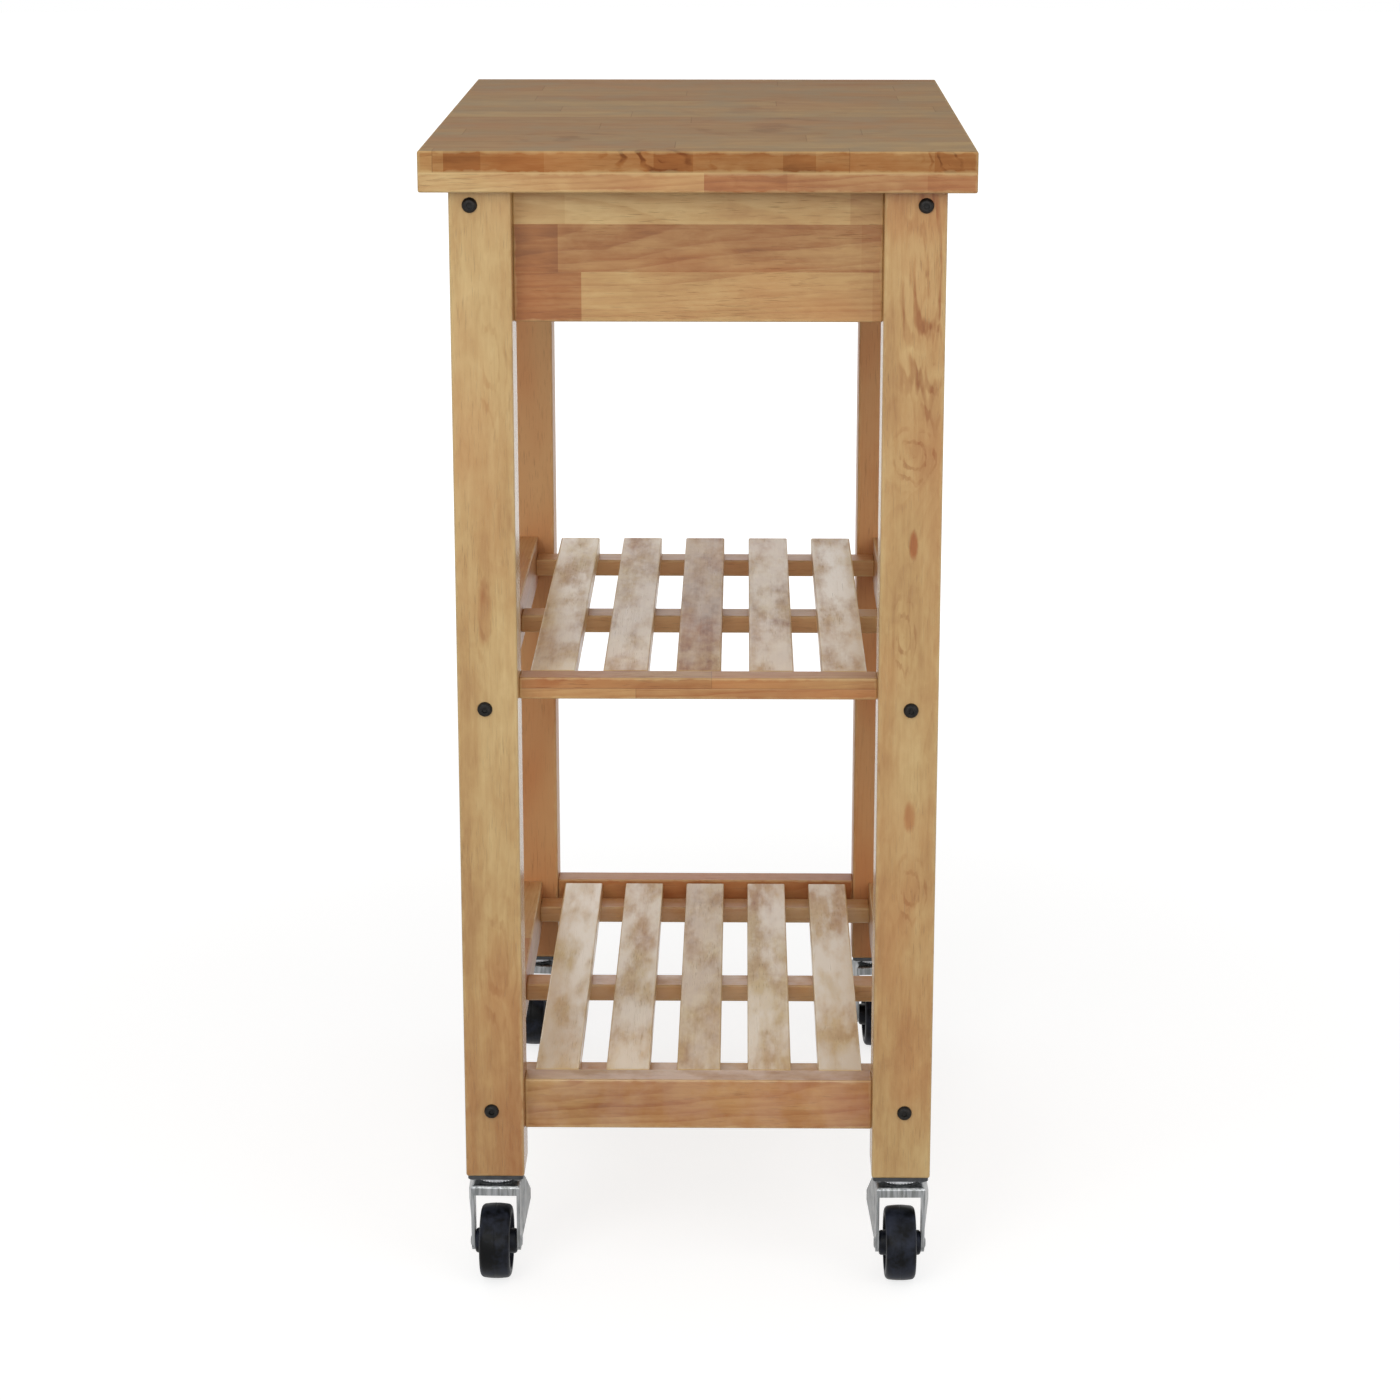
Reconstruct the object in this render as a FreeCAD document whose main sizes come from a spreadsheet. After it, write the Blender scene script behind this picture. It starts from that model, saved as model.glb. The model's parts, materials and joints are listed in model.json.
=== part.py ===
"""Kitchen trolley in solid wood.

A built-up top stands on four bolted legs with two slatted shelves between them, on four swivel casters. Sizes
are in millimetres. X runs across the trolley, Y along it from the near end to the far end, and Z up. The
origin is on the floor under the middle of the top.
"""

import FreeCAD, Part
import math
import os
import re

import Sketcher

SIZES = {
    # The top, with its rim built up by strips underneath
    "top_width": 390,
    "top_length": 570,
    "top_height": 855,
    "board_thickness": 15,
    "strip_thickness": 14,
    "strip_width": 70,
    "top_arris": 1.5,
    # Legs, and how far the top reaches past them
    "side_overhang": 20,
    "end_overhang": 13,
    "leg_size": 44,
    "leg_arris": 1.8,
    # Aprons
    "apron_height": 95,
    "apron_thickness": 20,
    "side_apron_setback": 5,
    # Rails and boards across the ends
    "end_setback": 18,
    "end_rail_thickness": 22,
    "end_rail_height": 39,
    "front_rail_height": 16,
    # Side rails
    "side_rail_setback": 10,
    "side_rail_thickness": 20,
    "side_rail_height": 40,
    "rail_arris": 1.2,
    # Shelves
    "upper_shelf_height": 469,
    "lower_shelf_height": 155.5,
    "slat_count": 5,
    "slat_width": 33,
    "slat_thickness": 14,
    "bar_width": 26,
    "bar_height": 14,
    "near_bar_inset": 22,
    "far_bar_inset": 5,
    # Bolts and barrel nuts
    "bolt_diameter": 6,
    "bolt_reach": 20,
    "bolt_head_diameter": 11,
    "bolt_head_height": 3.4,
    "bolt_head_crown_diameter": 6,
    "bolt_head_rim_share": 0.33,
    "socket_width": 4,
    "socket_depth": 2,
    "bolt_bore_clearance": 0.3,
    "top_bolt_drop": 10,
    "upper_bolt_drop": 19,
    "lower_bolt_drop": 18.5,
    "nut_diameter": 10,
    "nut_length": 14,
    "nut_depth": 14,
    # Dowels
    "dowel_diameter": 8,
    "dowel_depth": 12,
    "apron_dowel_spread": 30,
    "end_rail_dowel_spread": 10,
    "bar_dowel_shift": 8,
    # Wood screws
    "screw_diameter": 3.5,
    "screw_head_diameter": 7,
    "screw_head_height": 2,
    "screw_head_flat_share": 0.8,
    "screw_head_rim_share": 0.5,
    "slat_screw_bite": 9,
    "caster_screw_bite": 18,
    "bracket_screw_bite": 10,
    # Brackets under the top
    "bracket_reach": 20,
    "bracket_width": 16,
    "bracket_thickness": 2,
    "bracket_hole_reach": 12,
    "bracket_to_leg": 68,
    # Casters
    "caster_height": 84,
    "plate_size": 42,
    "plate_thickness": 3,
    "plate_corner": 4,
    "plate_hole_inset": 5.5,
    "race_diameter": 35,
    "race_height": 3,
    "neck_diameter": 28,
    "neck_height": 2,
    "kingpin_diameter": 10,
    "kingpin_head_diameter": 16,
    "kingpin_head_height": 2,
    "crown_height": 8,
    "crown_wall": 3,
    "crown_recess_diameter": 28,
    "crown_rounding": 3,
    "crown_back": 18,
    "crown_tongue_width": 31,
    "shoulder_start": 2,
    "shoulder_height": 58,
    "fork_front_width": 37,
    "fork_back_width": 47.5,
    "fork_thickness": 2.5,
    "fork_taper_height": 50,
    "fork_foot_radius": 7,
    "trail": 14,
    "wheel_diameter": 57,
    "wheel_width": 23,
    "wheel_shoulder": 3.5,
    "wheel_dish_diameter": 42,
    "wheel_dish_depth": 3,
    "hub_diameter": 19,
    "axle_diameter": 6,
    "axle_head_diameter": 10,
    "axle_head_height": 1.2,
    "near_turn": 1,
    "far_turn": 3,
    # Fits
    "fixing_clearance": 0.05,
    "running_clearance": 0.05,
    "swivel_gap": 0.3,
    "overrun": 1,
}

# Places and sizes worked out from the sheet
LEG_X = "(top_width / 2 - side_overhang - leg_size / 2)"
LEG_Y = "(top_length / 2 - end_overhang - leg_size / 2)"
LEG_TOP = "(top_height - board_thickness - strip_thickness)"
LEG_LENGTH = f"({LEG_TOP} - caster_height)"
GAP_X = f"(2 * {LEG_X} - leg_size)"
GAP_Y = f"(2 * {LEG_Y} - leg_size)"
SIDE_APRON_X = f"({LEG_X} + leg_size / 2 - side_apron_setback - apron_thickness / 2)"
SIDE_RAIL_X = f"({LEG_X} + leg_size / 2 - side_rail_setback - side_rail_thickness / 2)"
RAIL_GAP = f"(2 * {SIDE_RAIL_X} - side_rail_thickness)"
END_APRON_Y = f"({LEG_Y} + leg_size / 2 - end_setback - apron_thickness / 2)"
END_RAIL_Y = f"({LEG_Y} + leg_size / 2 - end_setback - end_rail_thickness / 2)"
APRON_MIDDLE = f"({LEG_TOP} - apron_height / 2)"
TOP_BOLT_Z = f"({LEG_TOP} - top_bolt_drop)"
UPPER_BOLT_Z = "(upper_shelf_height - upper_bolt_drop)"
LOWER_BOLT_Z = "(lower_shelf_height - lower_bolt_drop)"
SLAT_NEAR = f"(-{END_RAIL_Y} + end_rail_thickness / 2)"
SLAT_FAR = f"({LEG_Y} - leg_size / 2 - far_bar_inset)"
SLAT_LENGTH = f"({SLAT_FAR} - {SLAT_NEAR})"
SLAT_MIDDLE = f"(({SLAT_FAR} + {SLAT_NEAR}) / 2)"
NEAR_BAR_Y = f"(-{LEG_Y} + leg_size / 2 + near_bar_inset + bar_width / 2)"
FAR_BAR_Y = f"({SLAT_FAR} - bar_width / 2)"
BAR_Y = {"near": NEAR_BAR_Y, "middle": f"(({NEAR_BAR_Y} + {FAR_BAR_Y}) / 2)", "far": FAR_BAR_Y}
DOWEL_Y = {"near": f"({BAR_Y['near']} + bar_dowel_shift)", "middle": BAR_Y["middle"]}
DOWEL_Y["far"] = f"({BAR_Y['far']} - bar_dowel_shift)"
BOLT_BORE = "(bolt_diameter + 2 * bolt_bore_clearance)"
DOWEL_BORE = "(dowel_diameter + 2 * fixing_clearance)"
SCREW_BORE = "(screw_diameter + 2 * fixing_clearance)"
PLATE_HOLE = "(plate_size / 2 - plate_hole_inset)"
CROWN_TOP = "(caster_height - plate_thickness - race_height - neck_height)"
CROWN_UNDER = f"({CROWN_TOP} - crown_height)"
KINGPIN_HEAD_TOP = f"({CROWN_TOP} - crown_wall - swivel_gap)"
FORK_FRONT = "(trail + fork_foot_radius)"
HUB_HALF = "(fork_front_width / 2 - fork_thickness - swivel_gap)"
SLAT_GAP = f"(({RAIL_GAP} - slat_count * slat_width) / (slat_count + 1))"
SLAT_PITCH = f"(slat_width + {SLAT_GAP})"
BRACKET_X = f"({SIDE_APRON_X} - apron_thickness / 2)"
BRACKET_SPREAD = f"({GAP_Y} / 2 - bracket_to_leg)"

SHELVES = {"upper": "upper_shelf_height", "lower": "lower_shelf_height"}
SIDES = {"left": -1, "right": 1}
ENDS = {"near": -1, "far": 1}
PLANE_OF = {"x": "YZ_Plane", "y": "XZ_Plane", "z": "XY_Plane"}

doc = FreeCAD.newDocument("Trolley")
sheet = doc.addObject("Spreadsheet::Sheet", "Sizes")
for row, (alias, number) in enumerate(SIZES.items(), start=1):
    sheet.set(f"A{row}", alias)
    sheet.set(f"B{row}", str(number))
    sheet.setAlias(f"B{row}", alias)
doc.recompute()

parts = []


def cells(text):
    """The expression with each size's name turned into a reference to its cell."""
    return re.sub(r"[a-z]\w+", lambda word: f"Sizes.{word[0]}" if word[0] in SIZES else word[0], str(text))


def measure(text):
    return float(doc.getObject("Sizes").evalExpression(cells(text)))


def bind(item, **values):
    for name, text in values.items():
        item.setExpression(name.replace("__", "."), cells(text))


def place(item, x=0, y=0, z=0, turn=0):
    """Puts an item at a point, turned about the upright axis by an angle in degrees."""
    bind(item, Placement__Base__x=x, Placement__Base__y=y, Placement__Base__z=z)
    bind(item, Placement__Rotation__Angle=turn)


def finish(item, label):
    item.Label = label
    parts.append(item)
    return item


def new_body():
    return doc.addObject("PartDesign::Body", "Body")


def new_sketch(body, axis, offset=0, rise=0):
    """A sketch square to an axis of its body, at a distance along it, with its origin raised by a height."""
    sketch = body.newObject("Sketcher::SketchObject", "Sketch")
    plane = next(item for item in body.Origin.OriginFeatures if item.Role == PLANE_OF[axis])
    sketch.AttachmentSupport = [(plane, "")]
    sketch.MapMode = "FlatFace"
    toward_viewer = "-1 * " if axis == "y" else ""
    bind(sketch, AttachmentOffset__Base__z=f"{toward_viewer}({offset})", AttachmentOffset__Base__y=rise)
    return sketch


def hold(sketch, geometry, corner, spot):
    """Ties a point of a sketch to a place given as two expressions from the sketch's origin."""
    for kind, text, own_axis in (("DistanceX", spot[0], -2), ("DistanceY", spot[1], -1)):
        if text == 0:
            sketch.addConstraint(Sketcher.Constraint("PointOnObject", geometry, corner, own_axis))
        else:
            index = sketch.addConstraint(Sketcher.Constraint(kind, -1, 1, geometry, corner, measure(text)))
            sketch.setExpression(f"Constraints[{index}]", cells(text))


def outline(sketch, spots):
    """A closed outline of straight lines through places given as pairs of expressions."""
    points = [FreeCAD.Vector(measure(x), measure(y), 0) for x, y in spots]
    first = sketch.GeometryCount
    for here, there in zip(points, points[1:] + points[:1]):
        sketch.addGeometry(Part.LineSegment(here, there))
    for step, spot in enumerate(spots):
        following = first + (step + 1) % len(spots)
        sketch.addConstraint(Sketcher.Constraint("Coincident", first + step, 2, following, 1))
        hold(sketch, first + step, 1, spot)


def rectangle(sketch, width, height, x=0, y=0):
    left, right = f"({x}) - ({width}) / 2", f"({x}) + ({width}) / 2"
    low, high = f"({y}) - ({height}) / 2", f"({y}) + ({height}) / 2"
    outline(sketch, [(left, low), (right, low), (right, high), (left, high)])


def circle(sketch, diameter, spot):
    centre = FreeCAD.Vector(measure(spot[0]), measure(spot[1]), 0)
    index = sketch.addGeometry(Part.Circle(centre, FreeCAD.Vector(0, 0, 1), measure(diameter) / 2))
    hold(sketch, index, 3, spot)
    size = sketch.addConstraint(Sketcher.Constraint("Diameter", index, measure(diameter)))
    sketch.setExpression(f"Constraints[{size}]", cells(diameter))


def pad(body, sketch, length, middle=False):
    feature = body.newObject("PartDesign::Pad", "Pad")
    feature.Profile = sketch
    feature.Midplane = middle
    bind(feature, Length=length)
    doc.recompute()
    return feature


def revolve(body, sketch, axis):
    feature = body.newObject("PartDesign::Revolution", "Revolution")
    feature.Profile = sketch
    feature.ReferenceAxis = (sketch, [axis])
    feature.Angle = 360
    doc.recompute()
    return feature


def cut(body, sketch, length, reverse=False, middle=False):
    """Takes a sketch's shape out of a body and makes sure that wood or metal went."""
    before = body.Shape.Volume
    feature = body.newObject("PartDesign::Pocket", "Pocket")
    feature.Profile = sketch
    feature.Reversed = reverse
    feature.Midplane = middle
    bind(feature, Length=length)
    doc.recompute()
    if not body.Shape.Volume < before:
        raise RuntimeError(f"{feature.Name} cuts nothing")
    return feature


def drill(body, axis, diameter, spots, start, depth, direction):
    """Bores from a face of a body: round holes at the spots, from the start, one way along the axis."""
    sketch = new_sketch(body, axis, start)
    for spot in spots:
        circle(sketch, diameter, spot)
    cut(body, sketch, depth, reverse=(direction > 0) != (axis == "y"))


def ease(body, radius, chosen=None):
    """Rounds all edges of a body's last feature, or those that a test picks."""
    last = body.Tip
    feature = body.newObject("PartDesign::Fillet", "Fillet")
    if chosen is None:
        feature.Base = (last, [])
        feature.UseAllEdges = True
    else:
        names = [f"Edge{number}" for number, edge in enumerate(last.Shape.Edges, start=1) if chosen(edge)]
        feature.Base = (last, names)
    bind(feature, Radius=radius)
    doc.recompute()


def board(width, length, thickness, arris, chosen=None):
    """A board lying on its own XY plane, its middle over the origin, with all or chosen arrises eased."""
    body = new_body()
    sketch = new_sketch(body, "z")
    rectangle(sketch, width, length)
    pad(body, sketch, thickness)
    ease(body, arris, chosen)
    return body


def copies(label, source, places, x=0, y=0, z=0):
    """One sub-part of several like pieces, each a link with its place and the turn that it has there."""
    links = []
    for spot, axis, turn in places:
        link = doc.addObject("App::Link", "Copy")
        link.LinkedObject = source
        link.Placement.Rotation = FreeCAD.Rotation(axis, turn)
        bind(link, Placement__Base__x=spot[0], Placement__Base__y=spot[1], Placement__Base__z=spot[2])
        links.append(link)
    group = doc.addObject("Part::Compound", "Group")
    group.Links = links
    place(group, x, y, z)
    return finish(group, label)


def times(sign, text):
    return f"{sign} * ({text})"


# Top: one board over four strips that build up its rim, flush and sharp where they are glued


def above_joint(edge):
    return edge.BoundBox.ZMax > Part.Precision.confusion()


def outside(x, y):
    """Picks the edges of a strip at x and y that lie on the outside of the top, below its glue line."""
    across, along = measure("top_width / 2"), measure("top_length / 2")
    shift_x, shift_y = measure(x), measure(y)

    def chosen(edge):
        middle = edge.CenterOfMass
        sides = [abs(abs(middle.x + shift_x) - across), abs(abs(middle.y + shift_y) - along)]
        on_sides = [gap < Part.Precision.confusion() for gap in sides]
        return all(on_sides) or (any(on_sides) and not above_joint(edge))

    return chosen


def make_top():
    body = board("top_width", "top_length", "board_thickness", "top_arris", above_joint)
    place(body, z=f"{LEG_TOP} + strip_thickness")
    finish(body, "top_board")
    for end, sign in ENDS.items():
        y = times(sign, "(top_length - strip_width) / 2")
        body = board("top_width", "strip_width", "strip_thickness", "top_arris", outside(0, y))
        place(body, y=y, z=LEG_TOP)
        finish(body, f"top_strip_{end}")
    strip_x = "((top_width - strip_width) / 2)"
    length = "(top_length - 2 * strip_width)"
    for side, sign in SIDES.items():
        chosen = outside(times(sign, strip_x), 0)
        body = board("strip_width", length, "strip_thickness", "top_arris", chosen)
        hole_x = times(sign, f"{BRACKET_X} - bracket_hole_reach - {strip_x}")
        spots = [(hole_x, times(step, BRACKET_SPREAD)) for step in (-1, 0, 1)]
        drill(body, "z", SCREW_BORE, spots, 0, "bracket_screw_bite", 1)
        place(body, x=times(sign, strip_x), z=LEG_TOP)
        finish(body, f"top_strip_{side}")


# Legs: bored through for the bolts, and blind for dowels and caster screws


def bolt_spots(sign):
    """Where the bolts pass through a leg, from its foot."""
    apron_side = times(sign, f"{SIDE_APRON_X} - {LEG_X}")
    rail_side = times(sign, f"{SIDE_RAIL_X} - {LEG_X}")
    levels = [(apron_side, TOP_BOLT_Z), (rail_side, UPPER_BOLT_Z), (rail_side, LOWER_BOLT_Z)]
    return [(x, f"{level} - caster_height") for x, level in levels]


def end_dowel_levels(end):
    """Distance from the middle and height of each dowel between a leg and the pieces across the end."""
    levels = [(END_APRON_Y, f"{APRON_MIDDLE} + {step} * apron_dowel_spread") for step in (-1, 0, 1)]
    middle = "(lower_shelf_height - end_rail_height / 2)"
    levels += [(END_RAIL_Y, f"{middle} + {step} * end_rail_dowel_spread") for step in (-1, 1)]
    if end == "near":
        levels.append((END_RAIL_Y, "upper_shelf_height - front_rail_height / 2"))
    return levels


def make_leg(end, side):
    across, along = SIDES[side], ENDS[end]
    body = board("leg_size", "leg_size", LEG_LENGTH, "leg_arris")
    drill(body, "y", BOLT_BORE, bolt_spots(across), "-leg_size / 2 - overrun", "leg_size + 2 * overrun", 1)
    apron_x = times(across, f"{SIDE_APRON_X} - {LEG_X}")
    levels = [f"{APRON_MIDDLE} + {step} * apron_dowel_spread - caster_height" for step in (-1, 0)]
    inner_y = times(-along, "leg_size / 2")
    drill(body, "y", DOWEL_BORE, [(apron_x, level) for level in levels], inner_y, "dowel_depth", along)
    rows = end_dowel_levels(end)
    spots = [(times(along, f"{y} - {LEG_Y}"), f"{level} - caster_height") for y, level in rows]
    inner_x = times(-across, "leg_size / 2")
    drill(body, "x", DOWEL_BORE, spots, inner_x, "dowel_depth", across)
    spots = [(times(x, PLATE_HOLE), times(y, PLATE_HOLE)) for x in (-1, 1) for y in (-1, 1)]
    drill(body, "z", SCREW_BORE, spots, 0, "caster_screw_bite", 1)
    place(body, times(across, LEG_X), times(along, LEG_Y), "caster_height")
    finish(body, f"leg_{end}_{side}")


# Aprons and rails along the sides, each bolted to the legs at both ends


def nut_bores(body, sign, drop, thickness):
    """Bores for a bolt at each end, and for its barrel nut from the inner face."""
    for way in (-1, 1):
        drill(body, "y", BOLT_BORE, [(0, drop)], times(way, f"{GAP_Y} / 2"), "bolt_reach + overrun", -way)
    spots = [(times(way, f"{GAP_Y} / 2 - nut_depth"), drop) for way in (-1, 1)]
    inner_x = times(-sign, f"{thickness} / 2")
    depth = f"({thickness} + nut_length) / 2"
    drill(body, "x", "nut_diameter + 2 * fixing_clearance", spots, inner_x, depth, sign)


def make_side_apron(side):
    sign = SIDES[side]
    body = board("apron_thickness", GAP_Y, "apron_height", "rail_arris")
    nut_bores(body, sign, "apron_height - top_bolt_drop", "apron_thickness")
    levels = [f"apron_height / 2 + {step} * apron_dowel_spread" for step in (-1, 0)]
    for way in (-1, 1):
        spots = [(0, level) for level in levels]
        drill(body, "y", DOWEL_BORE, spots, times(way, f"{GAP_Y} / 2"), "dowel_depth", -way)
    spots = [(times(step, BRACKET_SPREAD), "apron_height - bracket_hole_reach") for step in (-1, 0, 1)]
    drill(body, "x", SCREW_BORE, spots, times(-sign, "apron_thickness / 2"), "bracket_screw_bite", sign)
    place(body, times(sign, SIDE_APRON_X), 0, f"{LEG_TOP} - apron_height")
    finish(body, f"apron_{side}")


def make_side_rail(shelf, side):
    sign = SIDES[side]
    body = board("side_rail_thickness", GAP_Y, "side_rail_height", "rail_arris")
    nut_bores(body, sign, f"side_rail_height - {shelf}_bolt_drop", "side_rail_thickness")
    spots = [(y, "side_rail_height - slat_thickness - bar_height / 2") for y in DOWEL_Y.values()]
    drill(body, "x", DOWEL_BORE, spots, times(-sign, "side_rail_thickness / 2"), "dowel_depth", sign)
    place(body, times(sign, SIDE_RAIL_X), 0, f"{SHELVES[shelf]} - side_rail_height")
    finish(body, f"{shelf}_side_rail_{side}")


# Boards across the ends, dowelled to the legs


def make_end_board(label, thickness, height, levels, y, top):
    """A board from leg to leg, with dowel bores in both ends at levels above its bottom edge."""
    body = board(GAP_X, thickness, height, "rail_arris")
    for way in (-1, 1):
        spots = [(0, level) for level in levels]
        drill(body, "x", DOWEL_BORE, spots, times(way, f"{GAP_X} / 2"), "dowel_depth", -way)
    place(body, 0, y, f"{top} - {height}")
    finish(body, label)


def make_ends():
    for end, sign in ENDS.items():
        levels = [f"apron_height / 2 + {step} * apron_dowel_spread" for step in (-1, 0, 1)]
        y = times(sign, END_APRON_Y)
        make_end_board(f"apron_{end}", "apron_thickness", "apron_height", levels, y, LEG_TOP)
        levels = [f"end_rail_height / 2 + {step} * end_rail_dowel_spread" for step in (-1, 1)]
        label = f"lower_end_rail_{end}"
        y = times(sign, END_RAIL_Y)
        make_end_board(label, "end_rail_thickness", "end_rail_height", levels, y, "lower_shelf_height")
    levels = ["front_rail_height / 2"]
    label, top = "upper_front_rail", SHELVES["upper"]
    y = times(ENDS["near"], END_RAIL_Y)
    make_end_board(label, "end_rail_thickness", "front_rail_height", levels, y, top)


# Shelves: slats over cross bars, flush with the rails round them


def slat_places():
    """Where each slat lies across the trolley."""
    count = round(measure("slat_count"))
    return [f"({number - (count + 1) / 2} * {SLAT_PITCH})" for number in range(1, count + 1)]


def make_bar(shelf, name):
    body = board(RAIL_GAP, "bar_width", "bar_height", "rail_arris")
    for way in (-1, 1):
        spots = [(f"{DOWEL_Y[name]} - {BAR_Y[name]}", "bar_height / 2")]
        drill(body, "x", DOWEL_BORE, spots, times(way, f"{RAIL_GAP} / 2"), "dowel_depth", -way)
    spots = [(x, 0) for x in slat_places()]
    drill(body, "z", SCREW_BORE, spots, "-overrun", "bar_height + 2 * overrun", 1)
    place(body, 0, BAR_Y[name], f"{SHELVES[shelf]} - slat_thickness - bar_height")
    finish(body, f"{shelf}_bar_{name}")


def make_slat(shelf, number, x):
    body = board("slat_width", SLAT_LENGTH, "slat_thickness", "rail_arris")
    spots = [(0, f"{bar_y} - {SLAT_MIDDLE}") for bar_y in BAR_Y.values()]
    drill(body, "z", SCREW_BORE, spots, 0, "slat_screw_bite", 1)
    place(body, x, SLAT_MIDDLE, f"{SHELVES[shelf]} - slat_thickness")
    finish(body, f"{shelf}_slat_{number}")


# Bolts, nuts, dowels, screws and brackets

ACROSS = FreeCAD.Vector(1, 0, 0)
ALONG = FreeCAD.Vector(0, 1, 0)
UPRIGHT = FreeCAD.Vector(0, 0, 1)


def make_bolt():
    """A bolt along +Y with its domed head before the origin and a hexagon socket in it."""
    body = new_body()
    sketch = new_sketch(body, "z")
    head, shank = "bolt_head_diameter / 2", "bolt_diameter / 2"
    crown = "bolt_head_crown_diameter / 2"
    end = "leg_size + bolt_reach"
    rim = "-bolt_head_height * bolt_head_rim_share"
    spots = [(0, "-bolt_head_height"), (crown, "-bolt_head_height"), (head, rim), (head, 0)]
    outline(sketch, spots + [(shank, 0), (shank, end), (0, end)])
    revolve(body, sketch, "V_Axis")
    socket = new_sketch(body, "y", "-bolt_head_height")
    half, tip = "socket_width / 2", "socket_width / sqrt(3)"
    corners = [(half, f"{tip} / 2"), (0, tip), (f"-{half}", f"{tip} / 2")]
    corners += [(f"-{half}", f"-{tip} / 2"), (0, f"-{tip}"), (half, f"-{tip} / 2")]
    outline(socket, corners)
    cut(body, socket, "socket_depth")
    return body


def bolt_places():
    """Place of each bolt head's seat, as side, end, distance across and height."""
    levels = ((SIDE_APRON_X, TOP_BOLT_Z), (SIDE_RAIL_X, UPPER_BOLT_Z), (SIDE_RAIL_X, LOWER_BOLT_Z))
    return [(side, end, x, z) for side in SIDES.values() for end in ENDS.values() for x, z in levels]


def make_bolts():
    places = []
    for side, end, x, z in bolt_places():
        spot = (times(side, x), times(end, f"{LEG_Y} + leg_size / 2"), f"{z} - {LEG_TOP}")
        places.append((spot, UPRIGHT, 0 if end < 0 else 180))
    copies("frame_bolts", make_bolt(), places, z=LEG_TOP)


def make_nuts():
    """Barrel nuts, each a short bar across a side piece with a hole through it for its bolt."""
    body = new_body()
    sketch = new_sketch(body, "x", "-nut_length / 2")
    circle(sketch, "nut_diameter", (0, 0))
    pad(body, sketch, "nut_length")
    drill(body, "y", "bolt_diameter + 2 * fixing_clearance", [(0, 0)], "-nut_diameter", "2 * nut_diameter", 1)
    places = []
    for side, end, x, z in bolt_places():
        spot = (times(side, x), times(end, f"{GAP_Y} / 2 - nut_depth"), f"{z} - {LEG_TOP}")
        places.append((spot, UPRIGHT, 0))
    copies("barrel_nuts", body, places, z=LEG_TOP)


def make_dowels():
    body = new_body()
    sketch = new_sketch(body, "z", "-dowel_depth")
    circle(sketch, "dowel_diameter", (0, 0))
    pad(body, sketch, "2 * dowel_depth")
    places = []
    for side in SIDES.values():
        for end, sign in ENDS.items():
            for y, z in end_dowel_levels(end):
                spot = (times(side, f"{GAP_X} / 2"), times(sign, y), f"{z} - lower_shelf_height")
                places.append((spot, ALONG, 90))
            for step in (-1, 0):
                z = f"{APRON_MIDDLE} + {step} * apron_dowel_spread - lower_shelf_height"
                places.append(((times(side, SIDE_APRON_X), times(sign, f"{GAP_Y} / 2"), z), ACROSS, 90))
        for top in SHELVES.values():
            for y in DOWEL_Y.values():
                z = f"{top} - slat_thickness - bar_height / 2 - lower_shelf_height"
                places.append(((times(side, f"{RAIL_GAP} / 2"), y, z), ALONG, 90))
    copies("dowels", body, places, z="lower_shelf_height")


def make_screw(length):
    """A screw up +Z with its pan head below the origin."""
    body = new_body()
    sketch = new_sketch(body, "y")
    head, shank = "screw_head_diameter / 2", "screw_diameter / 2"
    flat, rim = f"{head} * screw_head_flat_share", "-screw_head_height * screw_head_rim_share"
    spots = [(0, "-screw_head_height"), (flat, "-screw_head_height"), (head, rim), (head, 0)]
    outline(sketch, spots + [(shank, 0), (shank, length), (0, length)])
    revolve(body, sketch, "V_Axis")
    return body


def make_slat_screws():
    screw = make_screw("bar_height + slat_screw_bite")
    places = []
    for top in SHELVES.values():
        for bar_y in BAR_Y.values():
            z = f"{top} - slat_thickness - bar_height - lower_shelf_height"
            places += [((x, bar_y, z), UPRIGHT, 0) for x in slat_places()]
    copies("slat_screws", screw, places, z="lower_shelf_height")


def make_caster_screws():
    screw = make_screw("plate_thickness + caster_screw_bite")
    spots = [(x, y) for x in (-1, 1) for y in (-1, 1)]
    places = []
    for side in SIDES.values():
        for end in ENDS.values():
            for x, y in spots:
                over = f"{side} * {LEG_X} + {x} * {PLATE_HOLE}"
                along = f"{end} * {LEG_Y} + {y} * {PLATE_HOLE}"
                places.append(((over, along, "-plate_thickness"), UPRIGHT, 0))
    copies("caster_screws", screw, places, z="caster_height")


def bracket_spots():
    return [(side, step) for side in SIDES.values() for step in (-1, 0, 1)]


def make_brackets():
    """Angle brackets in the corner between the side aprons and the top."""
    body = new_body()
    sketch = new_sketch(body, "y")
    reach, wall = "bracket_reach", "bracket_thickness"
    corners = [(0, 0), (f"-{reach}", 0), (f"-{reach}", f"-{wall}"), (f"-{wall}", f"-{wall}")]
    outline(sketch, corners + [(f"-{wall}", f"-{reach}"), (0, f"-{reach}")])
    pad(body, sketch, "bracket_width", middle=True)
    hole = [("-bracket_hole_reach", 0)]
    drill(body, "z", SCREW_BORE, hole, "-bracket_reach / 2", "bracket_reach", 1)
    drill(body, "x", SCREW_BORE, [(0, "-bracket_hole_reach")], "-bracket_reach / 2", "bracket_reach", 1)
    places = []
    for side, step in bracket_spots():
        spot = (times(side, BRACKET_X), times(step, BRACKET_SPREAD), 0)
        places.append((spot, UPRIGHT, 0 if side > 0 else 180))
    copies("top_brackets", body, places, z=LEG_TOP)


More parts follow.
